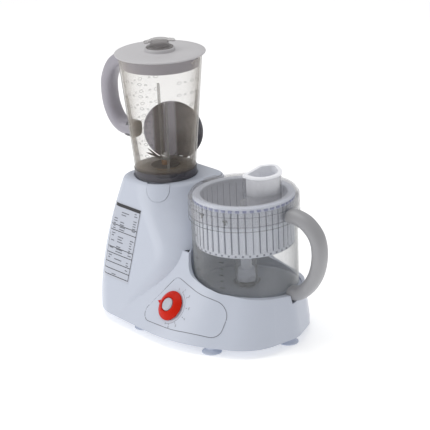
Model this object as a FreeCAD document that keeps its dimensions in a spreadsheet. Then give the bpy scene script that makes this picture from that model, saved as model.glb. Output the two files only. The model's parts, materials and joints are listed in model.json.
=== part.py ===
import FreeCAD, Part
import math
import os
import re

import Sketcher

# Kitchen machine with two stations on one motor base: a blender jug on the tower, and a processing
# bowl with a juicing basket on the deck.  Millimetres, +Z up, feet on z = 0.  The front faces -Y,
# the tower is on the -X side, and both stations' axes lie in one X-Z plane.

doc = FreeCAD.newDocument("BabyFoodMaker")
sheet = doc.addObject("Spreadsheet::Sheet", "Dims")

DIMENSIONS = {
    # Axes of the two stations and the angles of what leaves them
    "bowl_x": 88.54, "bowl_y": 22.73, "axis_gap": 201.5,
    "bowl_handle_turn": 13, "jug_handle_turn": 190, "jug_rib_turn": 12,
    # Motor base
    "foot_height": 14, "plate_thick": 3, "shell": 3, "tower_top": 226, "well_floor": 74,
    "well_radius": 91.4, "top_round": 13, "front_slope": 35.3, "front_foot": 155.3, "swoop_tilt": -5.4,
    "panel_gap": 0.5, "panel_depth": 50, "panel_plate": 2.8, "panel_seat": 3,
    # Processing bowl
    "bowl_radius": 88.8, "bowl_wall": 2.4, "bowl_bottom": 76, "bowl_floor": 82, "bowl_top": 231,
    "chimney_radius": 19, "chimney_top": 146,
    # Bowl lid with its feed tube
    "lid_radius": 92, "lid_low": 207, "lid_top": 244, "lid_wall": 2.2,
    "tube_top": 272, "tube_low": 200, "tube_wall": 2.2,
    # Juicing basket and its stem
    "basket_radius": 82.2, "basket_low": 151, "basket_high": 235, "basket_wall": 1.8,
    "ring_radius": 84.8, "ring_bore": 71.5, "ring_top": 239,
    # Blender jug
    "jug_base_radius": 53.8, "jug_top_radius": 71.6, "jug_low": 238, "jug_high": 437,
    "jug_wall": 3.2, "jug_lid_radius": 77.4, "jug_lid_low": 438.2, "jug_lid_high": 441.4,
    # Drive train
    "motor_pulley_radius": 11, "spindle_pulley_radius": 44, "belt_low": 32, "belt_high": 42,
    "belt_thick": 2, "belt_play": 0.3, "shaft_radius": 5, "stator_low": 88, "stator_high": 132,
    "stator_radius": 44, "armature_radius": 27.5,
    # Control knob, on the sloped front
    "knob_radius": 25.5, "knob_height": 8.5, "knob_along": 55, "knob_x": -51,
    # Drive cover that stands behind the jug
    "cover_radius": 53, "cover_thick": 3, "cover_turn": 127.5, "cover_reach": 68.5, "cover_pin_z": 231,
    "cover_arm": 17, "ear_thick": 5, "ear_reach": 11.9, "pin_radius": 1.48,
    # Release button
    "button_turn": -52.5, "button_width": 40, "button_height": 26, "button_low": 199,
    "play": 0.3,
}

# Tower sections, measured from the bowl's axis:
# height, left, right, front, back, front left round, front right round, back round
TOWER = [
    (14, -262, -106, -149, 94, 82, 60, 40),
    (67, -266, -86, -123, 92, 48, 60, 38),
    (120, -268, -66, -101.5, 89, 36, 56, 35),
    (173, -268, -98, -80.5, 85, 34, 72, 32),
    (226, -264, -123, -60, 80, 36, 88, 30),
]
# Outlines of the bowl's side of the base at its foot and 120 mm higher: x, y, corner round
DECK_FOOT = [(-190, -149, 4), (-8, -158, 240), (117.5, -90, 75), (119, 6, 45), (91, 56, 40), (42, 102, 60),
             (-190, 90, 4)]
DECK_HEAD = [(-190, -69, 4), (5, -71, 110), (76, -41, 50), (88, 8, 40), (72, 53, 40), (31, 94.5, 50),
             (-190, 84, 4)]
DECK_LOW, DECK_HIGH = 14, 134
# Edge along which the deck falls away from the tower, in a plane tilted by swoop_tilt: x, z, corner round
SWOOP = [(-66, 130.6, 0), (-45, 100, 40), (20, 84.7, 300), (130, 79.8, 0), (130, 260, 0), (-66, 260, 0)]
# Control panel outline on the sloped front: across, along the slope, corner round
PANEL = [(-116, 17.6, 16), (-65.2, 104.3, 12), (-2, 89.8, 120), (56, 90.5, 24), (56, 35.3, 20), (-30, 19.3, 200)]
# Feet and base screws, and the feed tube's plan with a straight side towards the stem: x, y, corner round
FEET = [(-125, -124), (36, -112), (97, 2), (44, 74), (-225, 66)]
BASE_SCREWS = [(-236, -70), (-225, 34), (-70, -130), (96, -62), (74, 48), (-60, 70)]
TUBE_PLAN = [(19, -16.5, 4), (55, -15, 26), (61, 36, 34), (14, 60, 12), (1.5, 37, 8)]
TUBE_MIDDLE = (34, 20)

row = 0
for alias, value in DIMENSIONS.items():
    row += 1
    sheet.set(f"A{row}", alias)
    sheet.set(f"B{row}", str(value))
    sheet.setAlias(f"B{row}", alias)


def cell_table(prefix, names, rows):
    """Adds one sheet cell for each number of a table, named prefix + row + name."""
    global row
    for index, values in enumerate(rows):
        for name, value in zip(names, values):
            row += 1
            alias = f"{prefix}{index}_{name}"
            sheet.set(f"A{row}", alias)
            sheet.set(f"B{row}", str(value))
            sheet.setAlias(f"B{row}", alias)
            DIMENSIONS[alias] = value


cell_table("tower", ("z", "left", "right", "front", "back", "rfl", "rfr", "rb"), TOWER)
cell_table("foot", ("x", "y", "r"), DECK_FOOT)
cell_table("head", ("x", "y", "r"), DECK_HEAD)
cell_table("swoop", ("x", "z", "r"), SWOOP)
cell_table("panel", ("x", "along", "r"), PANEL)
cell_table("stand", ("x", "y"), FEET)
cell_table("screw", ("x", "y"), BASE_SCREWS)
cell_table("plan", ("x", "y", "r"), TUBE_PLAN)
doc.recompute()

BOWL = ("bowl_x", "bowl_y", 0)
JUG = ("bowl_x - axis_gap", "bowl_y", 0)
NODES = []


def cells(text):
    """Turns names of dimensions in an expression into references to the sheet."""
    return re.sub(r"[a-z][a-z_0-9]*", lambda word: "Dims." + word.group() if word.group() in DIMENSIONS
                  else word.group(), str(text))


def number(text):
    return float(sheet.evalExpression(cells(text)))


def bind(thing, name, text):
    thing.setExpression(name, cells(text))


def place(thing, at, turn=0, axis=(0, 0, 1)):
    """Puts a thing at a point given by expressions, turned by an angle about an axis."""
    thing.Placement = FreeCAD.Placement(
        FreeCAD.Vector(0, 0, 0), FreeCAD.Rotation(FreeCAD.Vector(*axis), number(turn)))
    for letter, text in zip("xyz", at):
        bind(thing, f"Placement.Base.{letter}", text)
    if turn != 0:
        bind(thing, "Placement.Rotation.Angle", turn)
    return thing


def node(thing, label):
    """Names a finished piece and puts it on the list of nodes."""
    thing.Label = label
    NODES.append(thing)
    return thing


# ---------------------------------------------------------------- sketches and bodies

def new_body(name, at=(0, 0, 0), turn=0, axis=(0, 0, 1)):
    body = doc.addObject("PartDesign::Body", name)
    return place(body, at, turn, axis)


def new_sketch(body, role="XY_Plane", lift=0):
    sketch = body.newObject("Sketcher::SketchObject", "Sketch")
    sketch.AttachmentSupport = [f for f in body.Origin.OriginFeatures if f.Role == role][0]
    sketch.MapMode = "FlatFace"
    bind(sketch, "AttachmentOffset.Base.z", lift)
    return sketch


def pin(sketch, geometry, vertex, across, up):
    """Holds one vertex at two expressions measured from the sketch's origin."""
    for kind, text in (("DistanceX", across), ("DistanceY", up)):
        index = sketch.addConstraint(Sketcher.Constraint(kind, -1, 1, geometry, vertex, number(text)))
        bind(sketch, f"Constraints[{index}]", text)


def draw(sketch, corners, closed=True):
    """Draws lines through the corners; a third value rounds a corner with an arc tangent to both lines."""
    points = [FreeCAD.Vector(number(c[0]), number(c[1]), 0) for c in corners]
    count = len(points)
    rounds = [number(c[2]) if len(c) > 2 else 0 for c in corners]
    leave, arrive, centres = {}, {}, {}
    for i, point in enumerate(points):
        ends = not closed and i in (0, count - 1)
        if ends or rounds[i] <= 0:
            leave[i] = arrive[i] = point
            continue
        back = (points[i - 1] - point).normalize()
        ahead = (points[(i + 1) % count] - point).normalize()
        half = back.getAngle(ahead) / 2
        arrive[i] = point + back * (rounds[i] / math.tan(half))
        leave[i] = point + ahead * (rounds[i] / math.tan(half))
        centres[i] = point + (back + ahead).normalize() * (rounds[i] / math.sin(half))
    spans = count if closed else count - 1
    lines = [sketch.addGeometry(Part.LineSegment(leave[i], arrive[(i + 1) % count])) for i in range(spans)]
    for i in range(count):
        before = lines[i - 1] if closed or i > 0 else None
        after = lines[i] if closed or i < count - 1 else None
        if i not in centres:
            if before is not None and after is not None:
                sketch.addConstraint(Sketcher.Constraint("Coincident", before, 2, after, 1))
            if after is not None:
                pin(sketch, after, 1, corners[i][0], corners[i][1])
            else:
                pin(sketch, before, 2, corners[i][0], corners[i][1])
            continue
        turn = (points[i] - points[i - 1]).cross(points[(i + 1) % count] - points[i]).z
        first, last = (arrive[i], leave[i]) if turn > 0 else (leave[i], arrive[i])
        start = math.atan2(first.y - centres[i].y, first.x - centres[i].x)
        end = math.atan2(last.y - centres[i].y, last.x - centres[i].x)
        circle = Part.Circle(centres[i], FreeCAD.Vector(0, 0, 1), rounds[i])
        arc = sketch.addGeometry(Part.ArcOfCircle(circle, start, end))
        joined_before, joined_after = (1, 2) if turn > 0 else (2, 1)
        sketch.addConstraint(Sketcher.Constraint("Tangent", before, 2, arc, joined_before))
        sketch.addConstraint(Sketcher.Constraint("Tangent", arc, joined_after, after, 1))
        corner = sketch.addGeometry(Part.Point(points[i]), True)
        sketch.addConstraint(Sketcher.Constraint("PointOnObject", corner, 1, before))
        sketch.addConstraint(Sketcher.Constraint("PointOnObject", corner, 1, after))
        pin(sketch, corner, 1, corners[i][0], corners[i][1])
        radius = sketch.addConstraint(Sketcher.Constraint("Radius", arc, rounds[i]))
        bind(sketch, f"Constraints[{radius}]", corners[i][2])


def draw_circle(sketch, radius, across=0, up=0):
    middle = FreeCAD.Vector(number(across), number(up), 0)
    circle = sketch.addGeometry(Part.Circle(middle, FreeCAD.Vector(0, 0, 1), number(radius)))
    index = sketch.addConstraint(Sketcher.Constraint("Radius", circle, number(radius)))
    bind(sketch, f"Constraints[{index}]", radius)
    pin(sketch, circle, 3, across, up)


def revolve(body, corners):
    """Turns a closed outline of radius and height about the body's Z axis."""
    sketch = new_sketch(body, "XZ_Plane")
    draw(sketch, corners)
    feature = body.newObject("PartDesign::Revolution", "Revolution")
    feature.Profile = sketch
    feature.ReferenceAxis = (sketch, ["V_Axis"])
    feature.Angle = 360
    return feature


def pad(body, sketch, length, middle=False):
    feature = body.newObject("PartDesign::Pad", "Pad")
    feature.Profile = sketch
    bind(feature, "Length", length)
    if middle:
        feature.Midplane = True
    return feature


def pocket(body, sketch, length, reverse=True):
    feature = body.newObject("PartDesign::Pocket", "Pocket")
    feature.Profile = sketch
    bind(feature, "Length", length)
    feature.Reversed = reverse
    return feature


def turned(name, corners, at, label=None, turn=0, axis=(0, 0, 1)):
    body = new_body(name, at, turn, axis)
    revolve(body, corners)
    if label:
        node(body, label)
    return body


def padded(name, corners, low, length, at, label=None, turn=0, axis=(0, 0, 1)):
    body = new_body(name, at, turn, axis)
    sketch = new_sketch(body, "XY_Plane", low)
    draw(sketch, corners)
    pad(body, sketch, length)
    if label:
        node(body, label)
    return body


def lofted(name, sections, at):
    """Joins outlines at rising heights into one smooth solid."""
    sketches = []
    for height, corners in sections:
        sketch = doc.addObject("Sketcher::SketchObject", "Section")
        bind(sketch, "Placement.Base.z", height)
        draw(sketch, corners)
        sketches.append(sketch)
    loft = doc.addObject("Part::Loft", name)
    loft.Sections = sketches
    loft.Solid = True
    loft.Ruled = len(sections) == 2
    loft.MaxDegree = 3
    return place(loft, at)


# ---------------------------------------------------------------- primitives and booleans

def cylinder(radius, height, at, turn=0, axis=(0, 0, 1)):
    thing = doc.addObject("Part::Cylinder", "Cylinder")
    bind(thing, "Radius", radius)
    bind(thing, "Height", height)
    return place(thing, at, turn, axis)


def box(length, width, height, at, turn=0):
    """Box centred on its point in X and Y, standing on it in Z."""
    thing = doc.addObject("Part::Box", "Box")
    bind(thing, "Length", length)
    bind(thing, "Width", width)
    bind(thing, "Height", height)
    half_x = f"(({length}) * cos({turn}) - ({width}) * sin({turn})) / 2"
    half_y = f"(({length}) * sin({turn}) + ({width}) * cos({turn})) / 2"
    return place(thing, (f"({at[0]}) - {half_x}", f"({at[1]}) - {half_y}", at[2]), turn)


def out_from(axis, turn, reach, height):
    """Point at a reach and compass turn from one of the two vertical axes."""
    return (f"{axis[0]} + ({reach}) * cos({turn})", f"{axis[1]} + ({reach}) * sin({turn})", height)


def fuse(things):
    whole = doc.addObject("Part::MultiFuse", "Fuse")
    whole.Shapes = things
    return whole


def cut(base, *tools):
    result = doc.addObject("Part::Cut", "Cut")
    result.Base = base
    result.Tool = tools[0] if len(tools) == 1 else fuse(list(tools))
    return result


def common(*things):
    result = doc.addObject("Part::MultiCommon", "Common")
    result.Shapes = list(things)
    return result


def tube(outer, inner, height, at):
    lower = (at[0], at[1], f"({at[2]}) - 1")
    return cut(cylinder(outer, height, at), cylinder(inner, f"({height}) + 2", lower))


def group(label, things):
    """Several separate solids that are one node."""
    compound = doc.addObject("Part::Compound", "Group")
    compound.Links = things
    return node(compound, label)


def moved_copy(thing, shift):
    """The same shape, shifted by a vector of expressions."""
    copy = doc.addObject("Part::Compound", "Shifted")
    copy.Links = [thing]
    return place(copy, shift)


# ---------------------------------------------------------------- motor base

def tower_section(index, inset, height):
    """Rounded rectangle of the tower at one height, drawn inwards by the inset."""
    name = f"tower{index}_"
    left, right = f"{name}left + {inset}", f"{name}right - {inset}"
    front, back = f"{name}front + {inset}", f"{name}back - {inset}"
    corners = [(left, front, f"{name}rfl - {inset}"), (right, front, f"{name}rfr - {inset}"),
               (right, back, f"{name}rb - {inset}"), (left, back, f"{name}rb - {inset}")]
    return height, corners


def tower(name, inset):
    last = len(TOWER) - 1
    sections = [tower_section(i, inset, f"tower{i}_z") for i in range(last)]
    sections.append(tower_section(last, inset, f"tower{last}_z - {inset}"))
    return lofted(name, sections, BOWL)


def deck_outline(prefix, count, inset):
    """Outline of the deck, with each corner drawn towards a point under the bowl by the inset."""
    corners = []
    for i in range(count):
        x, y, r = (number(f"{prefix}{i}_{letter}") for letter in "xyr")
        away = math.hypot(x, y)
        corners.append((f"{prefix}{i}_x - {inset} * {1.3 * x / away:.4f}",
                        f"{prefix}{i}_y - {inset} * {1.3 * y / away:.4f}",
                        f"{prefix}{i}_r - {inset} * {0.9 if r > 10 else 0}"))
    return corners


def deck(name, inset):
    low = (DECK_LOW, deck_outline("foot", len(DECK_FOOT), inset))
    high = (DECK_HIGH, deck_outline("head", len(DECK_HEAD), inset))
    return lofted(name, [low, high], BOWL)


def sky(name, drop):
    """Everything above the falling deck."""
    body = new_body(name, ("bowl_x", "bowl_y", -drop), "swoop_tilt", (1, 0, 0))
    sketch = new_sketch(body, "XZ_Plane")
    draw(sketch, [(f"swoop{i}_x", f"swoop{i}_z", f"swoop{i}_r") for i in range(len(SWOOP))])
    pad(body, sketch, 300, middle=True)
    return body


def rounded_top(thing, height, radius):
    """Rounds the outer edge loop that lies at one height."""
    doc.recompute()
    level = number(height)
    edges = []
    for index, edge in enumerate(thing.Shape.Edges, 1):
        box_of = edge.BoundBox
        if abs(box_of.ZMin - level) < 1e-3 and abs(box_of.ZMax - level) < 1e-3:
            edges.append((index, number(radius), number(radius)))
    fillet = doc.addObject("Part::Fillet", "TopRound")
    fillet.Base = thing
    fillet.Edges = edges
    return fillet


def panel_prism(name, grow):
    """Prism of the control panel's outline, grown all round, standing across the sloped front."""
    body = new_body(name, ("bowl_x", "bowl_y - front_foot", "foot_height"), "90 - front_slope", (1, 0, 0))
    sketch = new_sketch(body, "XY_Plane", "-panel_depth")
    middle_x = sum(p[0] for p in PANEL) / len(PANEL)
    middle_y = sum(p[1] for p in PANEL) / len(PANEL)
    corners = []
    for i, (x, y, _) in enumerate(PANEL):
        side_x = 1 if x > middle_x else -1
        side_y = 1 if y > middle_y else -1
        corners.append((f"panel{i}_x + {side_x} * ({grow})", f"panel{i}_along + {side_y} * ({grow})",
                        f"panel{i}_r + {grow}"))
    draw(sketch, corners)
    pad(body, sketch, "1.5 * panel_depth")
    return body


def out_of_slope(distance):
    """Step straight out of the sloped front."""
    return 0, f"-({distance}) * cos(front_slope)", f"({distance}) * sin(front_slope)"


def out_of_corner(distance):
    """Step out of the tower's corner along the way the release button is pressed."""
    return f"({distance}) * cos(button_turn)", f"({distance}) * sin(button_turn)", 0


def button_prism(name, grow):
    """Prism of the release button's outline, standing across the corner that faces its turn."""
    body = new_body(name, JUG, "button_turn", (0, 0, 1))
    sketch = new_sketch(body, "YZ_Plane", 30)
    half = f"button_width / 2 + {grow}"
    low = f"button_low - {grow}"
    high = f"button_low + button_height + {grow}"
    corner = "button_width / 2 - 3"
    draw(sketch, [(f"-({half})", high, 0), (f"-({half})", low, corner), (half, low, corner), (half, high, 0)])
    pad(body, sketch, 60)
    return body


tower_outer = rounded_top(tower("TowerOuter", 0), "tower_top", "top_round")
deck_outer = deck("DeckOuter", 0)
outer = fuse([tower_outer, cut(deck_outer, sky("SkyOuter", 0))])
deck_inner = cut(deck("DeckInner", DIMENSIONS["shell"]), sky("SkyInner", DIMENSIONS["shell"]))
inner = cut(
    fuse([tower("TowerInner", DIMENSIONS["shell"]), deck_inner]),
    cylinder("well_radius + shell", 300, ("bowl_x", "bowl_y", "well_floor - shell")),
    cylinder(25, 60, (JUG[0], JUG[1], 201)),
    cylinder("jug_base_radius + 4.4", 30, (JUG[0], JUG[1], "tower_top - 6")),
    box(48, 40, 90, out_from(BOWL, "bowl_handle_turn", 104, 64), "bowl_handle_turn"),
    cut(panel_prism("PanelBack", 4), moved_copy(deck_outer, out_of_slope("-panel_seat - shell"))),
)
panel_recess = cut(panel_prism("PanelRecess", "panel_gap"),
                   moved_copy(deck_outer, out_of_slope("-panel_seat")))
button_recess = cut(button_prism("ButtonRecess", 0.4), moved_copy(tower_outer, out_of_corner(-11)))
knob_at = ("bowl_x + knob_x", "bowl_y - front_foot + knob_along * sin(front_slope)",
           "foot_height + knob_along * cos(front_slope)")


def on_slope(name, corners, label=None):
    """A turned piece whose axis stands on the sloped front at the knob's centre."""
    return turned(name, corners, knob_at, label, "90 - front_slope", (1, 0, 0))


def cover_point(reach, height):
    return out_from(JUG, "cover_turn", reach, height)


def across_hinge(name, radius, length):
    """Cylinder along the drive cover's hinge, centred on it."""
    body = new_body(name, cover_point("cover_reach", "cover_pin_z"), "cover_turn")
    sketch = new_sketch(body, "XZ_Plane")
    draw_circle(sketch, radius)
    pad(body, sketch, length, middle=True)
    return body


def hinge_ear(side):
    """Ear that stands on the tower's top edge and holds the cover's pin."""
    ear = new_body("HingeEar", cover_point("cover_reach", "cover_pin_z"), "cover_turn")
    sketch = new_sketch(ear, "XZ_Plane", f"{side} * ear_reach - ear_thick / 2")
    draw(sketch, [(-5, -11), (5, -11), (3.6, 3.6, 2), (-3.6, 3.6, 2)])
    pad(ear, sketch, "ear_thick")
    return ear


housing = cut(
    fuse([cut(outer, inner), hinge_ear(-1), hinge_ear(1)]),
    across_hinge("EarBore", "pin_radius + 0.02", 60),
    cylinder("well_radius", 300, ("bowl_x", "bowl_y", "well_floor")),
    cylinder(14, 20, ("bowl_x", "bowl_y", 60)),
    cylinder("jug_base_radius + 1.4", 30, (JUG[0], JUG[1], "tower_top - 3")),
    cylinder(22, 60, (JUG[0], JUG[1], 204)),
    cylinder("shaft_radius + 2", 60, (JUG[0], JUG[1], 190)),
    box(46, 33, 90, out_from(BOWL, "bowl_handle_turn", 109, 67.4), "bowl_handle_turn"),
    panel_recess, button_recess,
    on_slope("KnobHole", [(0, -30), (7, -30), (7, 10), (0, 10)]),
    box(16, 30, 14, ("bowl_x - 120", "bowl_y + 33", "tower_top - 9")),
    cylinder(6, 30, ("bowl_x - 205", "bowl_y + 108", 34), 90, (1, 0, 0)),
)
node(housing, "upper_housing")

deck_skin = cut(deck_outer, moved_copy(deck_outer, out_of_slope("-panel_plate")),
                on_slope("PanelHole", [(0, -30), (7, -30), (7, 10), (0, 10)]))
node(common(panel_prism("PanelPlate", 0), deck_skin), "control_panel")
button_block = common(button_prism("ButtonBody", 0), moved_copy(tower_outer, out_of_corner(0.6)))
node(cut(button_block, moved_copy(tower_outer, out_of_corner(-7.5)),
         cylinder("jug_base_radius + 3.6", 20, (JUG[0], JUG[1], "tower_top - 3.5"))), "release_button")

VENTS = 7
plate_outlines = {"PlateDeck": deck_outline("foot", len(DECK_FOOT), 5), "PlateTower": tower_section(0, 4.6, 0)[1]}
plates = [padded(name, outline, "foot_height - 1", "plate_thick", BOWL)
          for name, outline in plate_outlines.items()]
vents = [box(3, 46, 10, (f"bowl_x - 230 + 9 * {i}", "bowl_y + 14", "foot_height - 4")) for i in range(VENTS)]
node(cut(fuse(plates), *vents), "base_plate")


def suction_foot(index):
    """Soft foot with a hollow face that grips the table."""
    return turned("Foot", [(0, 2), (9, 2), (14.5, 0), (16.5, 0), (16.5, 1.6), (12, 5), (9.5, 7), (9.5, 10),
                           (12, 11), (12, "foot_height - 1.05"), (0, "foot_height - 1.05")],
                  (f"bowl_x + stand{index}_x", f"bowl_y + stand{index}_y", 0))


def base_screw(index):
    """Pan head under the base plate, with its seat on the plate."""
    return turned("BaseScrew", [(0, -2.4), (2.8, -2.4), (3.8, -1.4), (3.8, 0), (2, 0), (2, 0.04), (0, 0.04)],
                  (f"bowl_x + screw{index}_x", f"bowl_y + screw{index}_y", "foot_height - 1.05"))


group("suction_feet", [suction_foot(i) for i in range(len(FEET))])
group("base_screws", [base_screw(i) for i in range(len(BASE_SCREWS))])

node(cut(cylinder("well_radius - 3", 1.4, ("bowl_x", "bowl_y", "well_floor + 0.05")),
         cylinder(14.6, 10, ("bowl_x", "bowl_y", "well_floor - 2"))), "well_liner")

# Speed table on the front of the tower
label_box = padded("LabelOutline", [(-232.5, 66), (-165, 66), (-177, 184), (-249, 184)], 60, 100,
                   BOWL, None, 90, (1, 0, 0))
node(cut(common(label_box, moved_copy(tower_outer, (0, -0.4, 0))), moved_copy(tower_outer, (0, -0.05, 0))),
     "speed_label")

# ---------------------------------------------------------------- control knob and its switch

on_slope("Knob", [
    (8.2, 1.4), ("knob_radius", 1.4), ("knob_radius", 3), ("knob_radius - 7.5", "knob_height"),
    (12.4, "knob_height + 1.5"), (12.4, 7.5), (11, 7.5), (11, 5), (8.2, 5)], "speed_knob")
on_slope("KnobCap", [(0, 5.1), (10.9, 5.1), (10.9, 9.6), (8.5, 11), (0, 11.3)], "knob_cap")
on_slope("SwitchShaft", [(0, -16), (4, -16), (4, 1.2), (8.1, 1.2), (8.1, 5), (0, 5)], "switch_shaft")
on_slope("RotarySwitch", [(4.3, -30), (17, -30), (17, -13.5), (6, -13.5), (6, -9), (4.3, -9)],
         "rotary_switch")

# ---------------------------------------------------------------- motor and drive train

PRESS_RADIUS = "shaft_radius + 0.02"
WINDING_GAP = 0.1
turned("MotorShaft", [(0, 26), ("shaft_radius", 26), ("shaft_radius", 207), (0, 207)], JUG, "motor_shaft")
turned("Stator", [("armature_radius + 0.8", "stator_low"), ("stator_radius", "stator_low"),
                  ("stator_radius", "stator_high"), ("armature_radius + 0.8", "stator_high")],
       JUG, "motor_stator")
turned("Armature", [(PRESS_RADIUS, "stator_low"), ("armature_radius", "stator_low"),
                    ("armature_radius", "stator_high"), (PRESS_RADIUS, "stator_high")], JUG, "armature_core")


def both_ends(name, label, inner, outer, length):
    """A ring of winding above and below the laminated iron."""
    rings = []
    for low, high in ((f"stator_low - {length}", f"stator_low - {WINDING_GAP}"),
                      (f"stator_high + {WINDING_GAP}", f"stator_high + {length}")):
        rings.append(turned(name, [(inner, low), (outer, low), (outer, high), (inner, high)], JUG))
    return group(label, rings)


both_ends("Coil", "field_coils", 30, 41, 12)
both_ends("Winding", "armature_windings", PRESS_RADIUS, 24, 10)
turned("Commutator", [(PRESS_RADIUS, 145), (12, 145), (12, 162), (PRESS_RADIUS, 162)], JUG, "commutator")


def brush(turn):
    """Round holder that lies along a radius, with its inner end near the commutator."""
    angle = math.radians(turn)
    lying = (-math.sin(angle), math.cos(angle), 0)
    return place(cylinder(4, 20, (0, 0, 0)), out_from(JUG, turn, 13, 153.5), 90, lying)


group("brush_holders", [brush(turn) for turn in (35, 215)])


def spread(count, length, width, height, reach, low):
    """Equal blocks spread round the jug's axis, each lying along its radius."""
    blocks = []
    for i in range(count):
        turn = 360 / count * i
        blocks.append(box(length, width, height, out_from(JUG, turn, reach, low), turn))
    return blocks


FAN_BLADES = 9
fan_hub = turned("FanHub", [(PRESS_RADIUS, 58), (36, 58), (36, 60), (10, 60), (10, 70),
                            (PRESS_RADIUS, 70)], JUG)
node(fuse([fan_hub] + spread(FAN_BLADES, 22, 1.6, 8, 23, 59.5)), "cooling_fan")
turned("MotorPulley", [(PRESS_RADIUS, "belt_low - 3"), (14, "belt_low - 3"), (14, "belt_low - 1"),
                       ("motor_pulley_radius", "belt_low - 0.6"), ("motor_pulley_radius", "belt_high + 0.6"),
                       (14, "belt_high + 1"), (14, "belt_high + 3"), (PRESS_RADIUS, "belt_high + 3")],
       JUG, "motor_pulley")


def bearing_bridge(name, low, reach, label):
    """Bar across the motor with a bearing seat in its middle."""
    bar = fuse([cylinder(15, 8, (JUG[0], JUG[1], low)), box(f"2 * {reach}", 22, 4, (JUG[0], JUG[1], low))])
    return node(cut(bar, cylinder(11.05, 6, (JUG[0], JUG[1], f"{low} + 2")),
                    cylinder(7, 20, (JUG[0], JUG[1], f"{low} - 2"))), label)


bearing_bridge("UpperBridge", 166, 48, "motor_upper_bracket")
bearing_bridge("LowerBridge", 46, 52, "motor_lower_bracket")
bearings = []
for low in (48.1, 168.1):
    high = low + 5.8
    outline = [(PRESS_RADIUS, low), (11, low), (11, high), (PRESS_RADIUS, high)]
    bearings.append(turned("Bearing", outline, JUG))
group("motor_bearings", bearings)


def both_sides(label, radius, length, reach, low):
    """Two upright round posts, one on each side of the motor."""
    return group(label, [cylinder(radius, length, (f"{JUG[0]} + {side} * {reach}", JUG[1], low))
                         for side in (-1, 1)])


both_sides("motor_bolts", 1.9, 115.8, 46.5, 50.1)
both_sides("motor_mounts", 8, "46 - foot_height - 2.1", 44, "foot_height + 2.05")

DOG_TEETH = 6
dog_hub = turned("DogHub", [(0, 207.1), (13, 207.1), (13, 212), (0, 212)], JUG)
node(fuse([dog_hub] + spread(DOG_TEETH, 5, 5, 7, 9, 211.5)), "drive_dog")

turned("SpindlePulley", [
    (5.02, "belt_low - 3"), (10, "belt_low - 3"), (12, "belt_low + 3"),
    ("spindle_pulley_radius - 6", "belt_low + 3"), ("spindle_pulley_radius - 6", "belt_low - 2"),
    ("spindle_pulley_radius + 3", "belt_low - 2"), ("spindle_pulley_radius + 3", "belt_low - 0.8"),
    ("spindle_pulley_radius", "belt_low - 0.6"), ("spindle_pulley_radius", "belt_high + 0.6"),
    ("spindle_pulley_radius + 3", "belt_high + 0.8"), ("spindle_pulley_radius + 3", "belt_high + 2"),
    ("spindle_pulley_radius - 6", "belt_high + 2"), ("spindle_pulley_radius - 6", "belt_low + 6"),
    (12, "belt_low + 6"), (10, "belt_high + 4"), (5.02, "belt_high + 4")], BOWL, "spindle_pulley")
turned("DriveSpindle", [(0, 24), (5, 24), (5, 112), (4, 114), (0, 114)], BOWL, "drive_spindle")
turned("SpindleTube", [(7.6, 50), (13, 50), (13, 70.9), (13.9, 70.9), (13.9, 74), (12, 78), (12, 104),
                       (7.6, 104)], BOWL, "spindle_bearing_tube")
group("spindle_bushes", [turned("Bush", [(5.02, low), (7.58, low), (7.58, high), (5.02, high)], BOWL)
                         for low, high in ((50.5, 62), (92, 103.5))])


def belt_loop(sketch, grow):
    """Loop round both pulleys: two straight runs joined by an arc round each pulley."""
    small, large = number(f"motor_pulley_radius + {grow}"), number(f"spindle_pulley_radius + {grow}")
    gap = number("axis_gap")
    lean = math.asin((large - small) / gap)
    normal = (-math.sin(lean), math.cos(lean))
    small_top = FreeCAD.Vector(-gap + small * normal[0], small * normal[1], 0)
    small_low = FreeCAD.Vector(small_top.x, -small_top.y, 0)
    large_top = FreeCAD.Vector(large * normal[0], large * normal[1], 0)
    large_low = FreeCAD.Vector(large_top.x, -large_top.y, 0)
    angle = math.pi / 2 + lean
    up = FreeCAD.Vector(0, 0, 1)
    large_circle = Part.Circle(FreeCAD.Vector(0, 0, 0), up, large)
    small_circle = Part.Circle(FreeCAD.Vector(-gap, 0, 0), up, small)
    big_arc = sketch.addGeometry(Part.ArcOfCircle(large_circle, -angle, angle))
    top = sketch.addGeometry(Part.LineSegment(large_top, small_top))
    small_arc = sketch.addGeometry(Part.ArcOfCircle(small_circle, angle, 2 * math.pi - angle))
    low = sketch.addGeometry(Part.LineSegment(small_low, large_low))
    for first, first_end, second, second_end in ((big_arc, 2, top, 1), (top, 2, small_arc, 1),
                                                 (small_arc, 2, low, 1), (low, 2, big_arc, 1)):
        sketch.addConstraint(Sketcher.Constraint("Tangent", first, first_end, second, second_end))
    pin(sketch, big_arc, 3, 0, 0)
    pin(sketch, small_arc, 3, "-axis_gap", 0)
    for arc, pulley in ((big_arc, "spindle_pulley_radius"), (small_arc, "motor_pulley_radius")):
        text = f"{pulley} + {grow}"
        index = sketch.addConstraint(Sketcher.Constraint("Radius", arc, number(text)))
        bind(sketch, f"Constraints[{index}]", text)


belt = new_body("Belt", BOWL)
belt_outline = new_sketch(belt, "XY_Plane", "belt_low")
belt_loop(belt_outline, number("belt_play + belt_thick"))
pad(belt, belt_outline, "belt_high - belt_low")
belt_hole = new_sketch(belt, "XY_Plane", "belt_low")
belt_loop(belt_hole, number("belt_play"))
pocket(belt, belt_hole, "belt_high - belt_low")
node(belt, "drive_belt")

node(box(70, 44, 1.6, ("bowl_x - 118", "bowl_y - 30", 24)), "control_board")
group("interlock_switches", [box(12, 20, 10, ("bowl_x - 136", "bowl_y + 40", 202)),
                             box(20, 12, 10, (JUG[0], f"{JUG[1]} + 50", 206))])
turned("CordGland", [(0, -7), (8.5, -7), (8.5, -4), (5.9, -4), (5.9, 0.8), (9, 0.8), (6, 16), (0, 16)],
       ("bowl_x - 205", "bowl_y + 93.5", 34), "cord_gland", 90, (-1, 0, 0))

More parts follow.
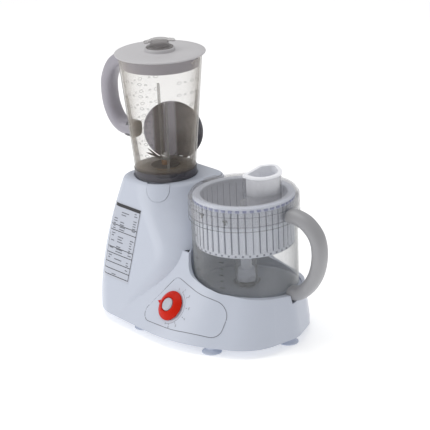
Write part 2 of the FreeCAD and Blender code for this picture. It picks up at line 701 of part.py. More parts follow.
# ---------------------------------------------------------------- drive cover behind the jug

cover_disc = new_body("CoverDisc", cover_point("cover_reach", "cover_pin_z"), "cover_turn")
cover_sketch = new_sketch(cover_disc, "YZ_Plane", "-cover_thick / 2")
draw_circle(cover_sketch, "cover_radius", 0, "cover_radius - 3")
pad(cover_disc, cover_sketch, "cover_thick")
# The disc is notched round the ears of its hinge
notched = cut(cover_disc, box(10, "2 * ear_reach + ear_thick + 1.4", 9.6,
                              cover_point("cover_reach", "cover_pin_z - 4.6"), "cover_turn"))
cover_arm = box("cover_thick", "cover_arm", 12, cover_point("cover_reach", "cover_pin_z"), "cover_turn")
cover_whole = fuse([notched, cover_arm, across_hinge("CoverKnuckle", 3.6, "cover_arm")])
node(cut(cover_whole, across_hinge("CoverBore", "pin_radius + 0.07", 40)), "drive_cover")
node(across_hinge("CoverPin", "pin_radius", 30), "cover_hinge_pin")

# ---------------------------------------------------------------- processing bowl, lid and feed tube

turned("ProcessorBowl", [
    ("chimney_radius - 2", "bowl_bottom"), ("bowl_radius - 8", "bowl_bottom"),
    ("bowl_radius - 1.5", "bowl_bottom + 7", 4),
    ("bowl_radius", "bowl_top"), ("bowl_radius - bowl_wall", "bowl_top"),
    ("bowl_radius - bowl_wall - 1.2", "bowl_floor", 6), ("chimney_radius", "bowl_floor", 3),
    ("chimney_radius - 0.8", "chimney_top"), ("chimney_radius - 2.8", "chimney_top")], BOWL, "processor_bowl")


def pipe(name, path, profile_radii, at, turn):
    """C-shaped grip: an oval swept along a path in the plane of radius and height."""
    body = new_body(name, at, turn)
    path_sketch = new_sketch(body, "XZ_Plane")
    draw(path_sketch, path, closed=False)
    profile = new_sketch(body, "YZ_Plane", path[0][0])
    middle = FreeCAD.Vector(0, number(path[0][1]), 0)
    wide, thick = profile_radii
    tip, side = FreeCAD.Vector(wide, middle.y, 0), FreeCAD.Vector(0, middle.y + thick, 0)
    profile.addGeometry(Part.Ellipse(tip, side, middle))
    sweep = body.newObject("PartDesign::AdditivePipe", "Grip")
    sweep.Profile = profile
    sweep.Spine = path_sketch
    return body


BOWL_GRIP = [(86, 213), (126, 213, 45), (151, 172, 60), (142, 118, 80), (112, 79.5, 40), (86, 79.5)]
JUG_GRIP = [(62, 423), (122, 420, 48), (119, 296, 56), (56, 296)]
bowl_grip = pipe("BowlHandle", BOWL_GRIP, (15, 11.5), BOWL, "bowl_handle_turn")
node(cut(bowl_grip, cylinder("bowl_radius + 0.1", 200, ("bowl_x", "bowl_y", 60)),
         cylinder("lid_radius + 0.4", 60, ("bowl_x", "bowl_y", "lid_low - 0.5"))), "bowl_handle")

lid_shell = turned("LidShell", [
    ("lid_radius", "lid_low"), ("lid_radius", "lid_top - 8", 2), ("lid_radius - 6", "lid_top", 5),
    (0, "lid_top"), (0, "lid_top - lid_wall"), ("lid_radius - 7", "lid_top - lid_wall", 4),
    ("lid_radius - lid_wall", "lid_top - 10", 1), ("lid_radius - lid_wall", "lid_low")], BOWL)


def tube_prism(name, inset, low, high):
    """Prism of the feed tube's plan, with each corner drawn towards the middle by the inset."""
    corners = []
    for i, (x, y, r) in enumerate(TUBE_PLAN):
        away_x, away_y = x - TUBE_MIDDLE[0], y - TUBE_MIDDLE[1]
        pull = 1.25 * inset / math.hypot(away_x, away_y)
        smaller = min(0.8 * inset, r - 2)
        corners.append((f"plan{i}_x - {pull * away_x:.4f}", f"plan{i}_y - {pull * away_y:.4f}",
                        f"plan{i}_r - {smaller:.4f}"))
    return padded(name, corners, low, f"{high} - ({low})", BOWL)


tab = cut(box(46, 26, 5, ("bowl_x - 103", "bowl_y + 33", "tower_top - 3")),
          cylinder("lid_radius - 1", 60, ("bowl_x", "bowl_y", 200)))
tube_wall = DIMENSIONS["tube_wall"]
node(cut(fuse([lid_shell, tube_prism("TubeOuter", 0, "tube_low", "tube_top"), tab]),
         tube_prism("TubeInner", tube_wall, "tube_low - 1", "tube_top + 1")), "bowl_lid")

pusher_body = fuse([tube_prism("PusherBody", tube_wall + 1.2, "tube_low + 2", "tube_top + 0.3"),
                    tube_prism("PusherFlange", -2, "tube_top + 0.3", "tube_top + 3.5")])
pusher_hollow = tube_prism("PusherHollow", tube_wall + 3.4, "tube_low + 6", "tube_top + 9")
node(cut(pusher_body, pusher_hollow), "food_pusher")

# ---------------------------------------------------------------- juicing basket

turned("Basket", [
    (10.5, "basket_low"), ("basket_radius - 2", "basket_low"), ("basket_radius", "basket_low + 3"),
    ("basket_radius", "basket_high"), ("basket_radius - basket_wall", "basket_high"),
    ("basket_radius - basket_wall", "basket_low + 5"), ("basket_radius - 4", "basket_low + 2.4"),
    (10.5, "basket_low + 2.4")], BOWL, "juicer_basket")
turned("BasketRing", [
    ("ring_bore", "ring_top - 3"), ("ring_radius - 6", "ring_top - 3.5"),
    ("ring_radius - 6", "basket_high + 0.1"),
    ("ring_radius", "basket_high + 0.1"), ("ring_radius", "ring_top - 1"), ("ring_radius - 1", "ring_top"),
    ("ring_bore + 1", "ring_top"), ("ring_bore", "ring_top - 1")], BOWL, "basket_ring")
turned("DriveStem", [(5.4, 106), (15, 106), (15, 118), (12.5, 119.5), (12.5, 124), (8.5, 126), (8.5, 147.5),
                     (14, 147.5), (14, "basket_low - 0.05"), (10.4, "basket_low - 0.05"), (10.4, 157),
                     (0, 157), (0, 115), (5.4, 115)], BOWL, "drive_stem")
turned("StemCap", [(0, 157.05), (9.5, 157.05), (9.5, 160), (6.8, 162), (6.8, 221), (4, 225), (0, 226)],
       BOWL, "stem_cap")
turned("GraterDisc", [(11, "basket_low + 2.45"), ("basket_radius - 6.5", "basket_low + 2.45"),
                      ("basket_radius - 6.5", "basket_low + 3.6"), (11, "basket_low + 3.6")],
       BOWL, "grater_disc")

# ---------------------------------------------------------------- blender jug

jug_shell = turned("JugShell", [
    ("jug_base_radius - 1.3", "jug_low"), ("jug_top_radius", "jug_high"),
    ("jug_top_radius - jug_wall", "jug_high"),
    ("jug_base_radius - 1.3 - jug_wall", "jug_low + 3", 4), (20, "jug_low + 3"), (20, "jug_low")], JUG)
ribs = []
for quarter in range(4):
    rib = new_body("JugRib", JUG, f"jug_rib_turn + 45 + 90 * {quarter}")
    rib_sketch = new_sketch(rib, "XZ_Plane", -2)
    draw(rib_sketch, [("jug_base_radius - 2 - jug_wall - 7", "jug_low + 2.5"),
                      ("jug_base_radius - 2.5", "jug_low + 2.5"), ("jug_base_radius + 9", 368),
                      ("jug_base_radius + 4.5", 368, 2)])
    pad(rib, rib_sketch, 4)
    ribs.append(rib)


def spout_cone(name, corners, drop):
    """Turned piece of the spout, which leans on the jug's wall at a drop below its rim."""
    cone = turned(name, corners, (0, 0, 0))
    return place(cone, out_from(JUG, "jug_rib_turn", "jug_top_radius - 8.5", f"jug_high - {drop}"))


spout = cut(spout_cone("SpoutCone", [(0, 0), (3, 0), (15, 26), (0, 26)], 26),
            cylinder("jug_top_radius - jug_wall", 60, (JUG[0], JUG[1], "jug_high - 40")),
            spout_cone("SpoutHollow", [(0, 0), (1, 0), (12.5, 26), (12.5, 34), (0, 34)], 25))
spout_gate = spout_cone("SpoutGate", [(0, 8), (1, 8), (12.5, 26), (12.5, 34), (0, 34)], 25)
node(cut(fuse([jug_shell, spout] + ribs), spout_gate), "blender_jug")

turned("JugCollar", [("jug_base_radius - 3.5", 224.5), ("jug_base_radius", 226), ("jug_base_radius", 240),
                     ("jug_base_radius - 0.9", 240), ("jug_base_radius - 0.9", "jug_low - 0.1"),
                     (19.5, "jug_low - 0.1"), (19.5, "jug_low - 3"), ("jug_base_radius - 4", "jug_low - 4"),
                     ("jug_base_radius - 4", 224.5)], JUG, "jug_collar")
turned("BladeBush", [(4.05, 228), (9, 228), (9, 234), (19.4, 234), (19.4, "jug_low + 1"), (6.5, 239.2),
                     (6.5, 250), (4.05, 250)], JUG, "blade_bush")
turned("JugSeal", [(6.6, "jug_low + 3.05"), (24, "jug_low + 3.05"), (24, "jug_low + 4.2"),
                   (6.6, "jug_low + 4.2")], JUG, "jug_seal")
turned("BladeSpindle", [(0, 222), (4, 222), (4, 256), (2.5, 262), (0, 263)], JUG, "blade_spindle")
socket = turned("CouplingSocket", [(4.02, 219.5), (17.5, 219.5), (17.5, 224), (4.02, 224)], JUG)
socket_skirt = turned("CouplingSkirt", [(14.8, 213), (17.5, 213), (17.5, 220), (14.8, 220)], JUG)
node(fuse([socket, socket_skirt]), "blade_coupling")


def blender_blade(index):
    """One of four wings, alternately tilted up and down."""
    tilt = -24 if index % 2 == 0 else 14
    blade = new_body("Blade", (0, 0, 0), tilt, (0, 1, 0))
    sketch = new_sketch(blade, "XY_Plane", -0.75)
    draw(sketch, [(3, -6), (30, -4.5), (36, 4.5), (3, 6)])
    pad(blade, sketch, 1.5)
    holder = doc.addObject("Part::Compound", "BladeTurned")
    holder.Links = [blade]
    return place(holder, (JUG[0], JUG[1], 253.2), f"30 + 90 * {index}")


blade_hub = tube(8.5, 4.02, 2.6, (JUG[0], JUG[1], 252))
node(cut(fuse([blade_hub] + [blender_blade(i) for i in range(4)]), cylinder(4.02, 40, (JUG[0], JUG[1], 230))),
     "blender_blades")
turned("BladeNut", [(4.02, 257.4), (6.5, 257.4), (6.5, 260), (4.02, 260)], JUG, "blade_nut")

jug_envelope = turned("JugEnvelope", [(0, "jug_low"), ("jug_base_radius - 1.2", "jug_low"),
                                      ("jug_top_radius + 0.1", "jug_high"), (0, "jug_high")], JUG)
jug_grip = pipe("JugHandle", JUG_GRIP, (15, 12.5), JUG, "jug_handle_turn")
clip_block = box(16, 26, 26, out_from(JUG, "jug_handle_turn", 67, 283), "jug_handle_turn")
node(cut(jug_grip, jug_envelope, clip_block), "jug_handle")
node(cut(clip_block, jug_envelope), "handle_clip")

turned("BlenderLid", [
    (22, "jug_lid_low"), ("jug_lid_radius - 1.5", "jug_lid_low"), ("jug_lid_radius", "jug_lid_low + 1.4"),
    ("jug_lid_radius - 2", "jug_lid_low + 3.5", 3), ("jug_lid_radius - 24", "jug_lid_high", 20),
    (25.5, "jug_lid_high + 0.8", 3), (24.5, "jug_lid_high + 8", 2), (22, "jug_lid_high + 8")],
       JUG, "blender_lid")
turned("LidSkirt", [("jug_top_radius - jug_wall - 3.6", 417), ("jug_top_radius - jug_wall - 2.6", 417),
                    ("jug_top_radius - jug_wall - 0.7", "jug_lid_low - 0.05"),
                    ("jug_top_radius - jug_wall - 3.6", "jug_lid_low - 0.05")], JUG, "lid_skirt")
cap_cup = turned("CapCup", [
    (19, 432), (21.6, 432), (21.6, "jug_lid_high + 8.3"), (24, "jug_lid_high + 8.3"),
    (24, "jug_lid_high + 10"),
    (0, "jug_lid_high + 10"), (0, "jug_lid_high + 8"), (19, "jug_lid_high + 8")], JUG)
cap_wing = box(54, 16, 3, (JUG[0], JUG[1], "jug_lid_high + 17.6"), "jug_handle_turn - 60")
cap_post = turned("CapPost", [(0, "jug_lid_high + 9"), (15, "jug_lid_high + 9"),
                              (17, "jug_lid_high + 20.6", 1), (0, "jug_lid_high + 20.6")], JUG)
node(fuse([cap_cup, cap_post, cap_wing]), "filler_cap")


# ---------------------------------------------------------------- check and export

doc.recompute()
failed = [f"{thing.Name} {thing.State}" for thing in doc.Objects
          if "Invalid" in thing.State or "Error" in thing.State]
for piece in NODES:
    if piece.Shape.isNull() or not piece.Shape.isValid() or not piece.Shape.Solids:
        failed.append(f"{piece.Label} has no valid solid")
if failed:
    raise RuntimeError("; ".join(failed))

os.makedirs("parts", exist_ok=True)
for piece in NODES:
    piece.Shape.exportStep(f"parts/{piece.Label}.step")
print(len(NODES), "nodes")
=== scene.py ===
import json
import math
import random

import bmesh
import bpy
from mathutils import Matrix, Vector
from mathutils.bvhtree import BVHTree


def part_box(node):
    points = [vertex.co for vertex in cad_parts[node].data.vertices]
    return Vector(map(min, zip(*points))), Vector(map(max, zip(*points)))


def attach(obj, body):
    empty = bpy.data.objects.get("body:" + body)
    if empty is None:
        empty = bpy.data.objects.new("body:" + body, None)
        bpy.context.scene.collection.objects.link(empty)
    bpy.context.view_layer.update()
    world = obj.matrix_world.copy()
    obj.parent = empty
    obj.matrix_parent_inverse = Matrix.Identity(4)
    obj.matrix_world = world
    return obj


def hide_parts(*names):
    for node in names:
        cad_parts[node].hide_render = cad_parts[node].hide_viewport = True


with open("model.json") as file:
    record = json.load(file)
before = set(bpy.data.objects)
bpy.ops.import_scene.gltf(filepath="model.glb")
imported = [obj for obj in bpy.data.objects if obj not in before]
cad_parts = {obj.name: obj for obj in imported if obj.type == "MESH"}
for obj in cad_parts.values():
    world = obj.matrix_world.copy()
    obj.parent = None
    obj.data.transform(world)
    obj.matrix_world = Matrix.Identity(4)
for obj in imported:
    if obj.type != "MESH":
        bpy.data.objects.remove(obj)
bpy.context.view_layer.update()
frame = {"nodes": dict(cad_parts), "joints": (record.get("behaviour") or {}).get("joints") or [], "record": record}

MM = 0.001
NODES = frame["nodes"]
JOINTS = {joint["name"]: joint for joint in frame["joints"]}
UP = Vector((0, 0, 1))


def middle(node):
    """Middle of a CAD node's box, in metres."""
    low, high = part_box(node)
    return (low + high) / 2


def height_span(node):
    """Lowest and highest z of a CAD node, in millimetres."""
    low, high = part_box(node)
    return low.z / MM, high.z / MM


# Upright axes of the two stations, in millimetres
BOWL = middle("drive_spindle") / MM
JUG = middle("motor_shaft") / MM


# ---------------------------------------------------------------- materials

# Disc of the drive cover, and the way that it faces
COVER_RADIUS = 53
COVER_TURN = math.radians(127.5)

# Noise scales of the colour drift and of the gloss, in turns per metre
DRIFT_SCALE = 14
GLOSS_SCALE = 55


def join(tree, source, output, target, name):
    """Links a named output of one shader node to an input of another."""
    tree.links.new(source.outputs[output], target.inputs[name])


def noise(tree, place, scale, detail):
    """Noise texture in object space."""
    texture = tree.nodes.new("ShaderNodeTexNoise")
    texture.inputs["Scale"].default_value = scale
    texture.inputs["Detail"].default_value = detail
    join(tree, place, "Object", texture, "Vector")
    return texture


def blend_base(tree, first, second, source, output):
    """Base colour that runs from one to another with a node's output."""
    blend = tree.nodes.new("ShaderNodeMix")
    blend.data_type = "RGBA"
    blend.inputs["A"].default_value = (*first, 1)
    blend.inputs["B"].default_value = (*second, 1)
    join(tree, source, output, blend, "Factor")
    join(tree, blend, "Result", tree.nodes["Principled BSDF"], "Base Color")


# Size of the fine grain, and the depth of its bump, in millimetres
GRAIN_SIZE = 2.0
GRAIN_DEPTH = 0.1


def surface(name, colour, rough, grain=0.0, variation=0.04, rough_variation=0.05, **fixed):
    """Principled surface with fine grain, faint colour drift and uneven gloss, all in object space."""
    material = bpy.data.materials.new(name)
    material.use_nodes = True
    tree = material.node_tree
    shader = tree.nodes["Principled BSDF"]
    for socket, value in fixed.items():
        shader.inputs[socket.replace("_", " ")].default_value = value
    place = tree.nodes.new("ShaderNodeTexCoord")

    drifted = [channel * (1 - variation) for channel in colour]
    blend_base(tree, colour, drifted, noise(tree, place, DRIFT_SCALE, 4), "Fac")

    spread = tree.nodes.new("ShaderNodeMapRange")
    spread.inputs["To Min"].default_value = max(rough - rough_variation, 0)
    spread.inputs["To Max"].default_value = rough + rough_variation
    join(tree, noise(tree, place, GLOSS_SCALE, 5), "Fac", spread, "Value")
    join(tree, spread, "Result", shader, "Roughness")

    if grain > 0:
        bump = tree.nodes.new("ShaderNodeBump")
        bump.inputs["Strength"].default_value = grain
        bump.inputs["Distance"].default_value = GRAIN_DEPTH * MM
        join(tree, noise(tree, place, 1 / (GRAIN_SIZE * MM), 3), "Fac", bump, "Height")
        join(tree, bump, "Normal", shader, "Normal")
    return material


# How sharply clear plastic turns dense towards its edges
EDGE_POWER = 3


def clear(name, colour, edge, body=0.1, rim=0.8, rough=0.05):
    """Thin clear plastic: a faint tinted film that grows dense and dark where the wall is seen edge on."""
    material = surface(name, colour, rough, variation=0.02, rough_variation=0.02, Alpha=body)
    tree = material.node_tree
    shader = tree.nodes["Principled BSDF"]
    weight = tree.nodes.new("ShaderNodeLayerWeight")
    weight.inputs["Blend"].default_value = 0.5
    edge_on = tree.nodes.new("ShaderNodeMath")
    edge_on.operation = "POWER"
    edge_on.inputs[1].default_value = EDGE_POWER
    join(tree, weight, "Facing", edge_on, 0)
    blend_base(tree, colour, edge, edge_on, "Value")
    density = tree.nodes.new("ShaderNodeMapRange")
    density.inputs["To Min"].default_value = body
    density.inputs["To Max"].default_value = rim
    join(tree, edge_on, "Value", density, "Value")
    join(tree, density, "Result", shader, "Alpha")
    return material


def paint_light_and_shade_bands(material, turn, centre, bands):
    """Paints upright bands of light and shade into a clear material's colour across a disc that stands at a turn.
    """
    tree = material.node_tree
    place = tree.nodes.new("ShaderNodeTexCoord")
    across = tree.nodes.new("ShaderNodeVectorMath")
    across.operation = "DOT_PRODUCT"
    across.inputs[1].default_value = (math.sin(turn), -math.cos(turn), 0)
    join(tree, place, "Object", across, 0)
    share = tree.nodes.new("ShaderNodeMapRange")
    middle_share = Vector(across.inputs[1].default_value).dot(centre)
    share.inputs["From Min"].default_value = middle_share - COVER_RADIUS * MM
    share.inputs["From Max"].default_value = middle_share + COVER_RADIUS * MM
    join(tree, across, "Value", share, "Value")
    ramp = tree.nodes.new("ShaderNodeValToRGB")
    stops = ramp.color_ramp.elements
    stops.remove(stops[1])
    stops[0].color = (*bands[0][1], 1)
    for position, colour in bands[1:]:
        stops.new(position).color = (*colour, 1)
    join(tree, share, "Result", ramp, "Fac")
    join(tree, ramp, "Color", tree.nodes["Principled BSDF"], "Base Color")


FINISHES = {
    "white_body": surface("white_body", (0.585, 0.625, 0.72), 0.34, 0.05,
                          Coat_Weight=0.15, Coat_Roughness=0.2),
    "white_base": surface("white_base", (0.46, 0.50, 0.60), 0.35, 0.08),
    # Feet: lighter than the body as painted light, to make up for the shadow under the body
    "soft_foot": surface("soft_foot", (0.66, 0.71, 0.82), 0.4, 0.1),
    "steel": surface("steel", (0.55, 0.54, 0.53), 0.22, 0.1, Metallic=1.0),
    "grey_plate": surface("grey_plate", (0.50, 0.54, 0.62), 0.35, 0.1),
    "label_print": surface("label_print", (0.56, 0.59, 0.67), 0.3, 0.03),
    "red_knob": surface("red_knob", (0.62, 0.013, 0.001), 0.4, 0.04, Specular_IOR_Level=0.15),
    "white_part": surface("white_part", (0.78, 0.81, 0.90), 0.3, 0.05),
    "black_plastic": surface("black_plastic", (0.02, 0.02, 0.022), 0.45, 0.2),
    "rubber_black": surface("rubber_black", (0.03, 0.03, 0.034), 0.6, 0.3),
    "lamination": surface("lamination", (0.3, 0.3, 0.31), 0.4, 0.2, Metallic=1.0),
    "copper": surface("copper", (0.62, 0.22, 0.08), 0.35, 0.2, Metallic=1.0),
    "bracket_zinc": surface("bracket_zinc", (0.5, 0.5, 0.5), 0.45, 0.3, Metallic=1.0),
    "bronze": surface("bronze", (0.36, 0.19, 0.09), 0.35, 0.2, Metallic=0.8),
    "board_green": surface("board_green", (0.05, 0.18, 0.06), 0.5, 0.2),
    "smoke_cover": clear("smoke_cover", (0.10, 0.095, 0.11), (0.04, 0.04, 0.05), body=0.55, rim=0.95),
    "clear_bowl": clear("clear_bowl", (0.40, 0.41, 0.42), (0.20, 0.21, 0.20), body=0.13, rim=0.75),
    "clear_lid": clear("clear_lid", (0.42, 0.42, 0.45), (0.20, 0.20, 0.22), body=0.09, rim=0.75),
    "clear_stem": clear("clear_stem", (0.70, 0.72, 0.72), (0.35, 0.36, 0.36), body=0.3, rim=0.9),
    "clear_jug": clear("clear_jug", (0.40, 0.34, 0.27), (0.16, 0.155, 0.15), body=0.085, rim=0.95),
    "grey_handle": surface("grey_handle", (0.36, 0.36, 0.375), 0.36, 0.1, Coat_Weight=0.1),
    "lilac_handle": surface("lilac_handle", (0.36, 0.345, 0.39), 0.32, 0.1, Coat_Weight=0.1),
    "light_grey_lid": surface("light_grey_lid", (0.53, 0.52, 0.535), 0.42, 0.1),
}

# Finishes of single pieces and of the details on them
CAP_WHITE = surface("cap_white", (0.50, 0.52, 0.58), 0.32, 0.04)
# Brighter than white_part: the pusher's white with painted light added, to make up for the shade of the clear lid
# and bowl round it
PUSHER_PAINTED_LIGHT_WHITE = surface("pusher_painted_light_white", (0.95, 0.96, 1.0), 0.3, 0.04)
CAP_SMOKE = clear("cap_smoke", (0.34, 0.32, 0.32), (0.09, 0.085, 0.085), body=0.3, rim=0.9)
INK = surface("ink", (0.03, 0.03, 0.035), 0.5)
GREY_INK = surface("grey_ink", (0.16, 0.17, 0.20), 0.5)
RIB_TINT = clear("rib_tint", (0.22, 0.22, 0.21), (0.05, 0.05, 0.05), body=0.35, rim=0.95)
LINE_TINT = clear("line_tint", (0.20, 0.20, 0.22), (0.12, 0.12, 0.14), body=0.35, rim=0.6)
MARK_TINT = clear("mark_tint", (0.12, 0.12, 0.12), (0.10, 0.10, 0.10), body=0.4, rim=0.7)
# Smoke tint of the drive cover; its colour is then painted with bands of light and shade
COVER_SMOKE_PAINTED_BANDS = clear("cover_smoke_painted_bands", (0.20, 0.195, 0.22), (0.05, 0.05, 0.06), body=0.93, rim=0.97)
DARK_STEEL = surface("dark_steel", (0.20, 0.20, 0.205), 0.25, 0.1, Metallic=1.0)
CLIP_SMOKE = surface("clip_smoke", (0.05, 0.05, 0.06), 0.15, Coat_Weight=0.5)
GROOVE = surface("groove", (0.09, 0.09, 0.10), 0.5)
BLUE_BLOCK = surface("blue_block", (0.36, 0.39, 0.58), 0.35)
# Painted shade for the basket's slots and notches
SLOT_SHADE = surface("slot_shade", (0.20, 0.22, 0.28), 0.5)

SLOTS = {part["node"]: part["material_slot"] for part in frame["record"]["subparts"]}


# ---------------------------------------------------------------- mesh helpers

# Edges that turn more than this stay sharp
SHARP = math.radians(32)


def piece(name, form, slot, body, stands_for=(), material=None, bevel=0.0):
    """Turns a bmesh built in millimetres into a piece that rides on a body."""
    bmesh.ops.remove_doubles(form, verts=form.verts, dist=0.001)
    bmesh.ops.scale(form, vec=(MM, MM, MM), verts=form.verts)
    bmesh.ops.recalc_face_normals(form, faces=form.faces)
    mesh = bpy.data.meshes.new(name)
    form.to_mesh(mesh)
    form.free()
    mesh.shade_smooth()
    mesh.set_sharp_from_angle(angle=SHARP)
    mesh.materials.append(material or FINISHES[slot])
    thing = bpy.data.objects.new(name, mesh)
    bpy.context.scene.collection.objects.link(thing)
    if bevel:
        edge = thing.modifiers.new("Edges", "BEVEL")
        edge.width = bevel * MM
        edge.segments = 3
        edge.limit_method = "ANGLE"
        edge.angle_limit = SHARP
    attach(thing, body)
    if stands_for:
        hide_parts(*stands_for)
    return thing


def polar(centre, turn, reach, height):
    """Point at a turn, reach and height round an upright axis."""
    return Vector((centre.x + reach * math.cos(turn), centre.y + reach * math.sin(turn), height))


def loft(form, rings, closed=True, capped=False):
    """Faces between rings of points; the list of rings closes on itself or gets end caps."""
    rows = [[form.verts.new(point) for point in ring] for ring in rings]
    pairs = list(zip(rows, rows[1:])) + ([(rows[-1], rows[0])] if closed else [])
    for near, far in pairs:
        for i in range(len(near)):
            j = (i + 1) % len(near)
            form.faces.new((near[i], near[j], far[j], far[i]))
    if capped:
        form.faces.new(rows[0])
        form.faces.new(rows[-1])
    return rows


def spin(form, centre, outline, steps=120, lobe=None):
    """Revolves a closed outline of (radius, height); lobe(turn, radius, height) may change the radius."""
    rings = []
    for step in range(steps):
        turn = 2 * math.pi * step / steps
        rings.append([polar(centre, turn, lobe(turn, r, z) if lobe else r, z) for r, z in outline])
    loft(form, rings)


def facing(turn):
    """Level directions away from an axis at a turn, and across that."""
    return Vector((math.cos(turn), math.sin(turn), 0)), Vector((-math.sin(turn), math.cos(turn), 0))


def block(form, centre, turn, reach, height, size):
    """Box of (radial, across, tall) size whose middle stands at a turn and reach from the centre."""
    away, across = facing(turn)
    at = polar(centre, turn, reach, height)
    rings = []
    for up in (-0.5, 0.5):
        rings.append([at + away * size[0] * a + across * size[1] * b + UP * size[2] * up
                      for a, b in ((-0.5, -0.5), (0.5, -0.5), (0.5, 0.5), (-0.5, 0.5))])
    loft(form, rings, closed=False, capped=True)


def spline(points, parts=8):
    """Points on a smooth curve through the given ones."""
    padded = [points[0] * 2 - points[1]] + list(points) + [points[-1] * 2 - points[-2]]
    result = []
    for a, b, c, d in zip(padded, padded[1:], padded[2:], padded[3:]):
        for step in range(parts):
            t = step / parts
            result.append(0.5 * (2 * b + (c - a) * t + (2 * a - 5 * b + 4 * c - d) * t * t
                                 + (3 * b - a - 3 * c + d) * t ** 3))
    return result + [points[-1]]


def grip(form, centre, turn, line, half_across, half_deep, squareness=2.4, around=40):
    """C-shaped grip: a soft oval swept along a line of (reach, height) in the plane at a turn."""
    across = facing(turn)[1]
    points = spline([polar(centre, turn, reach, height) for reach, height in line])
    rings = []
    for i, point in enumerate(points):
        ahead = (points[min(i + 1, len(points) - 1)] - points[max(i - 1, 0)]).normalized()
        deep = ahead.cross(across).normalized()
        ring = []
        for step in range(around):
            angle = 2 * math.pi * step / around
            c, s = math.cos(angle), math.sin(angle)
            ring.append(point + across * half_across * math.copysign(abs(c) ** (2 / squareness), c)
                        + deep * half_deep * math.copysign(abs(s) ** (2 / squareness), s))
        rings.append(ring)
    loft(form, rings, closed=False, capped=True)


def push_out(form, centre, least_at):
    """Moves points that lie inside a wall out to it; least_at(height) is the wall's radius plus the gap."""
    for vertex in form.verts:
        away = Vector((vertex.co.x - centre.x, vertex.co.y - centre.y))
        least = least_at(vertex.co.z)
        if away.length < least:
            away = away.normalized() * least
            vertex.co.x, vertex.co.y = centre.x + away.x, centre.y + away.y


def tree_of(*names):
    """Search tree of some CAD nodes, in millimetres."""
    form = bmesh.new()
    for name in names:
        form.from_mesh(NODES[name].data)
    bmesh.ops.scale(form, vec=(1 / MM,) * 3, verts=form.verts)
    tree = BVHTree.FromBMesh(form)
    form.free()
    return tree


def laid(form, tree, corners, towards, lift=0.12, start=60, parts=4):
    """Thin print on a surface: a quadrilateral of points thrown along a direction onto it."""
    a, b, c, d = corners
    rows = []
    for step in range(parts + 1):
        share = step / parts
        row = []
        for point in (a.lerp(b, share), d.lerp(c, share)):
            hit = tree.ray_cast(point - towards * start, towards)[0]
            row.append(form.verts.new((hit if hit else point) - towards * lift))
        rows.append(row)
    for near, far in zip(rows, rows[1:]):
        form.faces.new((near[0], far[0], far[1], near[1]))


def dress_nodes():
    """Gives each CAD node the finish of its slot."""
    for name, thing in NODES.items():
        thing.data.materials.clear()
        thing.data.materials.append(FINISHES[SLOTS[name]])
    NODES["knob_cap"].data.materials[0] = CAP_WHITE
    # The pusher's white carries painted light
    NODES["food_pusher"].data.materials[0] = PUSHER_PAINTED_LIGHT_WHITE


# ---------------------------------------------------------------- sloped front: seam, dial marks, knob

SLOPE_AXIS = Vector(JOINTS["knob_turn"]["axis"]).normalized()
ALONG = UP - SLOPE_AXIS * UP.dot(SLOPE_AXIS)
ALONG.normalize()
ACROSS = Vector((1, 0, 0))
KNOB = Vector(JOINTS["knob_turn"]["pos_m"]) / MM


def on_slope(across, along, out=0.0):
    """Point on the sloped front, measured from the knob's centre."""
    return KNOB + ACROSS * across + ALONG * along + SLOPE_AXIS * out


# A face whose normal leans no more than this along the slope's is one of the panel's sides
SIDE_TILT = 0.35
# Points nearer to the knob's axis than this are the hole for its shaft
HOLE_RADIUS = 12
SEAM_WIDTH = 1.1
SEAM_LIFT = 0.1


def panel_rim():
    """Upper edge of the control panel's sides: (across, along) from the knob to the height over the slope."""
    mesh = NODES["control_panel"].data
    rim = {}
    for polygon in mesh.polygons:
        if abs(polygon.normal.dot(SLOPE_AXIS)) > SIDE_TILT:
            continue
        for index in polygon.vertices:
            point = mesh.vertices[index].co / MM - KNOB
            flat = (point.dot(ACROSS), point.dot(ALONG))
            if math.hypot(*flat) < HOLE_RADIUS:
                continue
            key = (round(flat[0], 1), round(flat[1], 1))
            rim[key] = max(rim.get(key, -99), point.dot(SLOPE_AXIS))
    return rim


def add_seam():
    """Dark seam round the control panel, along the outline of its CAD piece."""
    rim = panel_rim()
    centre = [sum(key[i] for key in rim) / len(rim) for i in range(2)]
    ordered = sorted(rim, key=lambda key: math.atan2(key[1] - centre[1], key[0] - centre[0]))
    form = bmesh.new()
    inner, outer = [], []
    for i, key in enumerate(ordered):
        before, after = ordered[i - 1], ordered[(i + 1) % len(ordered)]
        run = Vector((after[0] - before[0], after[1] - before[1])).normalized() * SEAM_WIDTH
        height = rim[key] + SEAM_LIFT
        inner.append(form.verts.new(on_slope(*key, height)))
        outer.append(form.verts.new(on_slope(key[0] + run.y, key[1] - run.x, height)))
    for i in range(len(ordered)):
        j = (i + 1) % len(ordered)
        form.faces.new((inner[i], inner[j], outer[j], outer[i]))
    piece("panel_seam", form, "white_body", "base", material=GREY_INK)


# Ticks round the knob: across and along the slope from the knob's centre
DIAL_MARKS = [(2, 30), (13, 28), (26, 22), (33.5, 6), (33, -10), (23, -23), (11.5, -29), (4, -29.4)]
# Seven-stroke digits: the strokes of each, and each stroke's ends on a grid one wide and two high
DIGITS = {1: "bc", 2: "abged", 3: "abgcd", 4: "fgbc", 5: "afgcd", 6: "afgedc"}
STROKES = {"a": ((0, 2), (1, 2)), "b": ((1, 2), (1, 1)), "c": ((1, 1), (1, 0)), "d": ((0, 0), (1, 0)),
           "e": ((0, 0), (0, 1)), "f": ((0, 1), (0, 2)), "g": ((0, 1), (1, 1))}
DIGIT_SIZE = 1.9
DIAL_RADIUS = 30.3
DIAL_FROM, DIAL_TO = math.radians(62), math.radians(-84)
DIAL_PARTS = 30


def stroke(form, tree, start, end, width):
    """Printed stroke between two points of the sloped front."""
    start, end = Vector(start), Vector(end)
    side = (end - start).normalized().orthogonal() * width / 2
    corners = [on_slope(*point) for point in (start + side, end + side, end - side, start - side)]
    laid(form, tree, corners, -SLOPE_AXIS, start=20, parts=1)


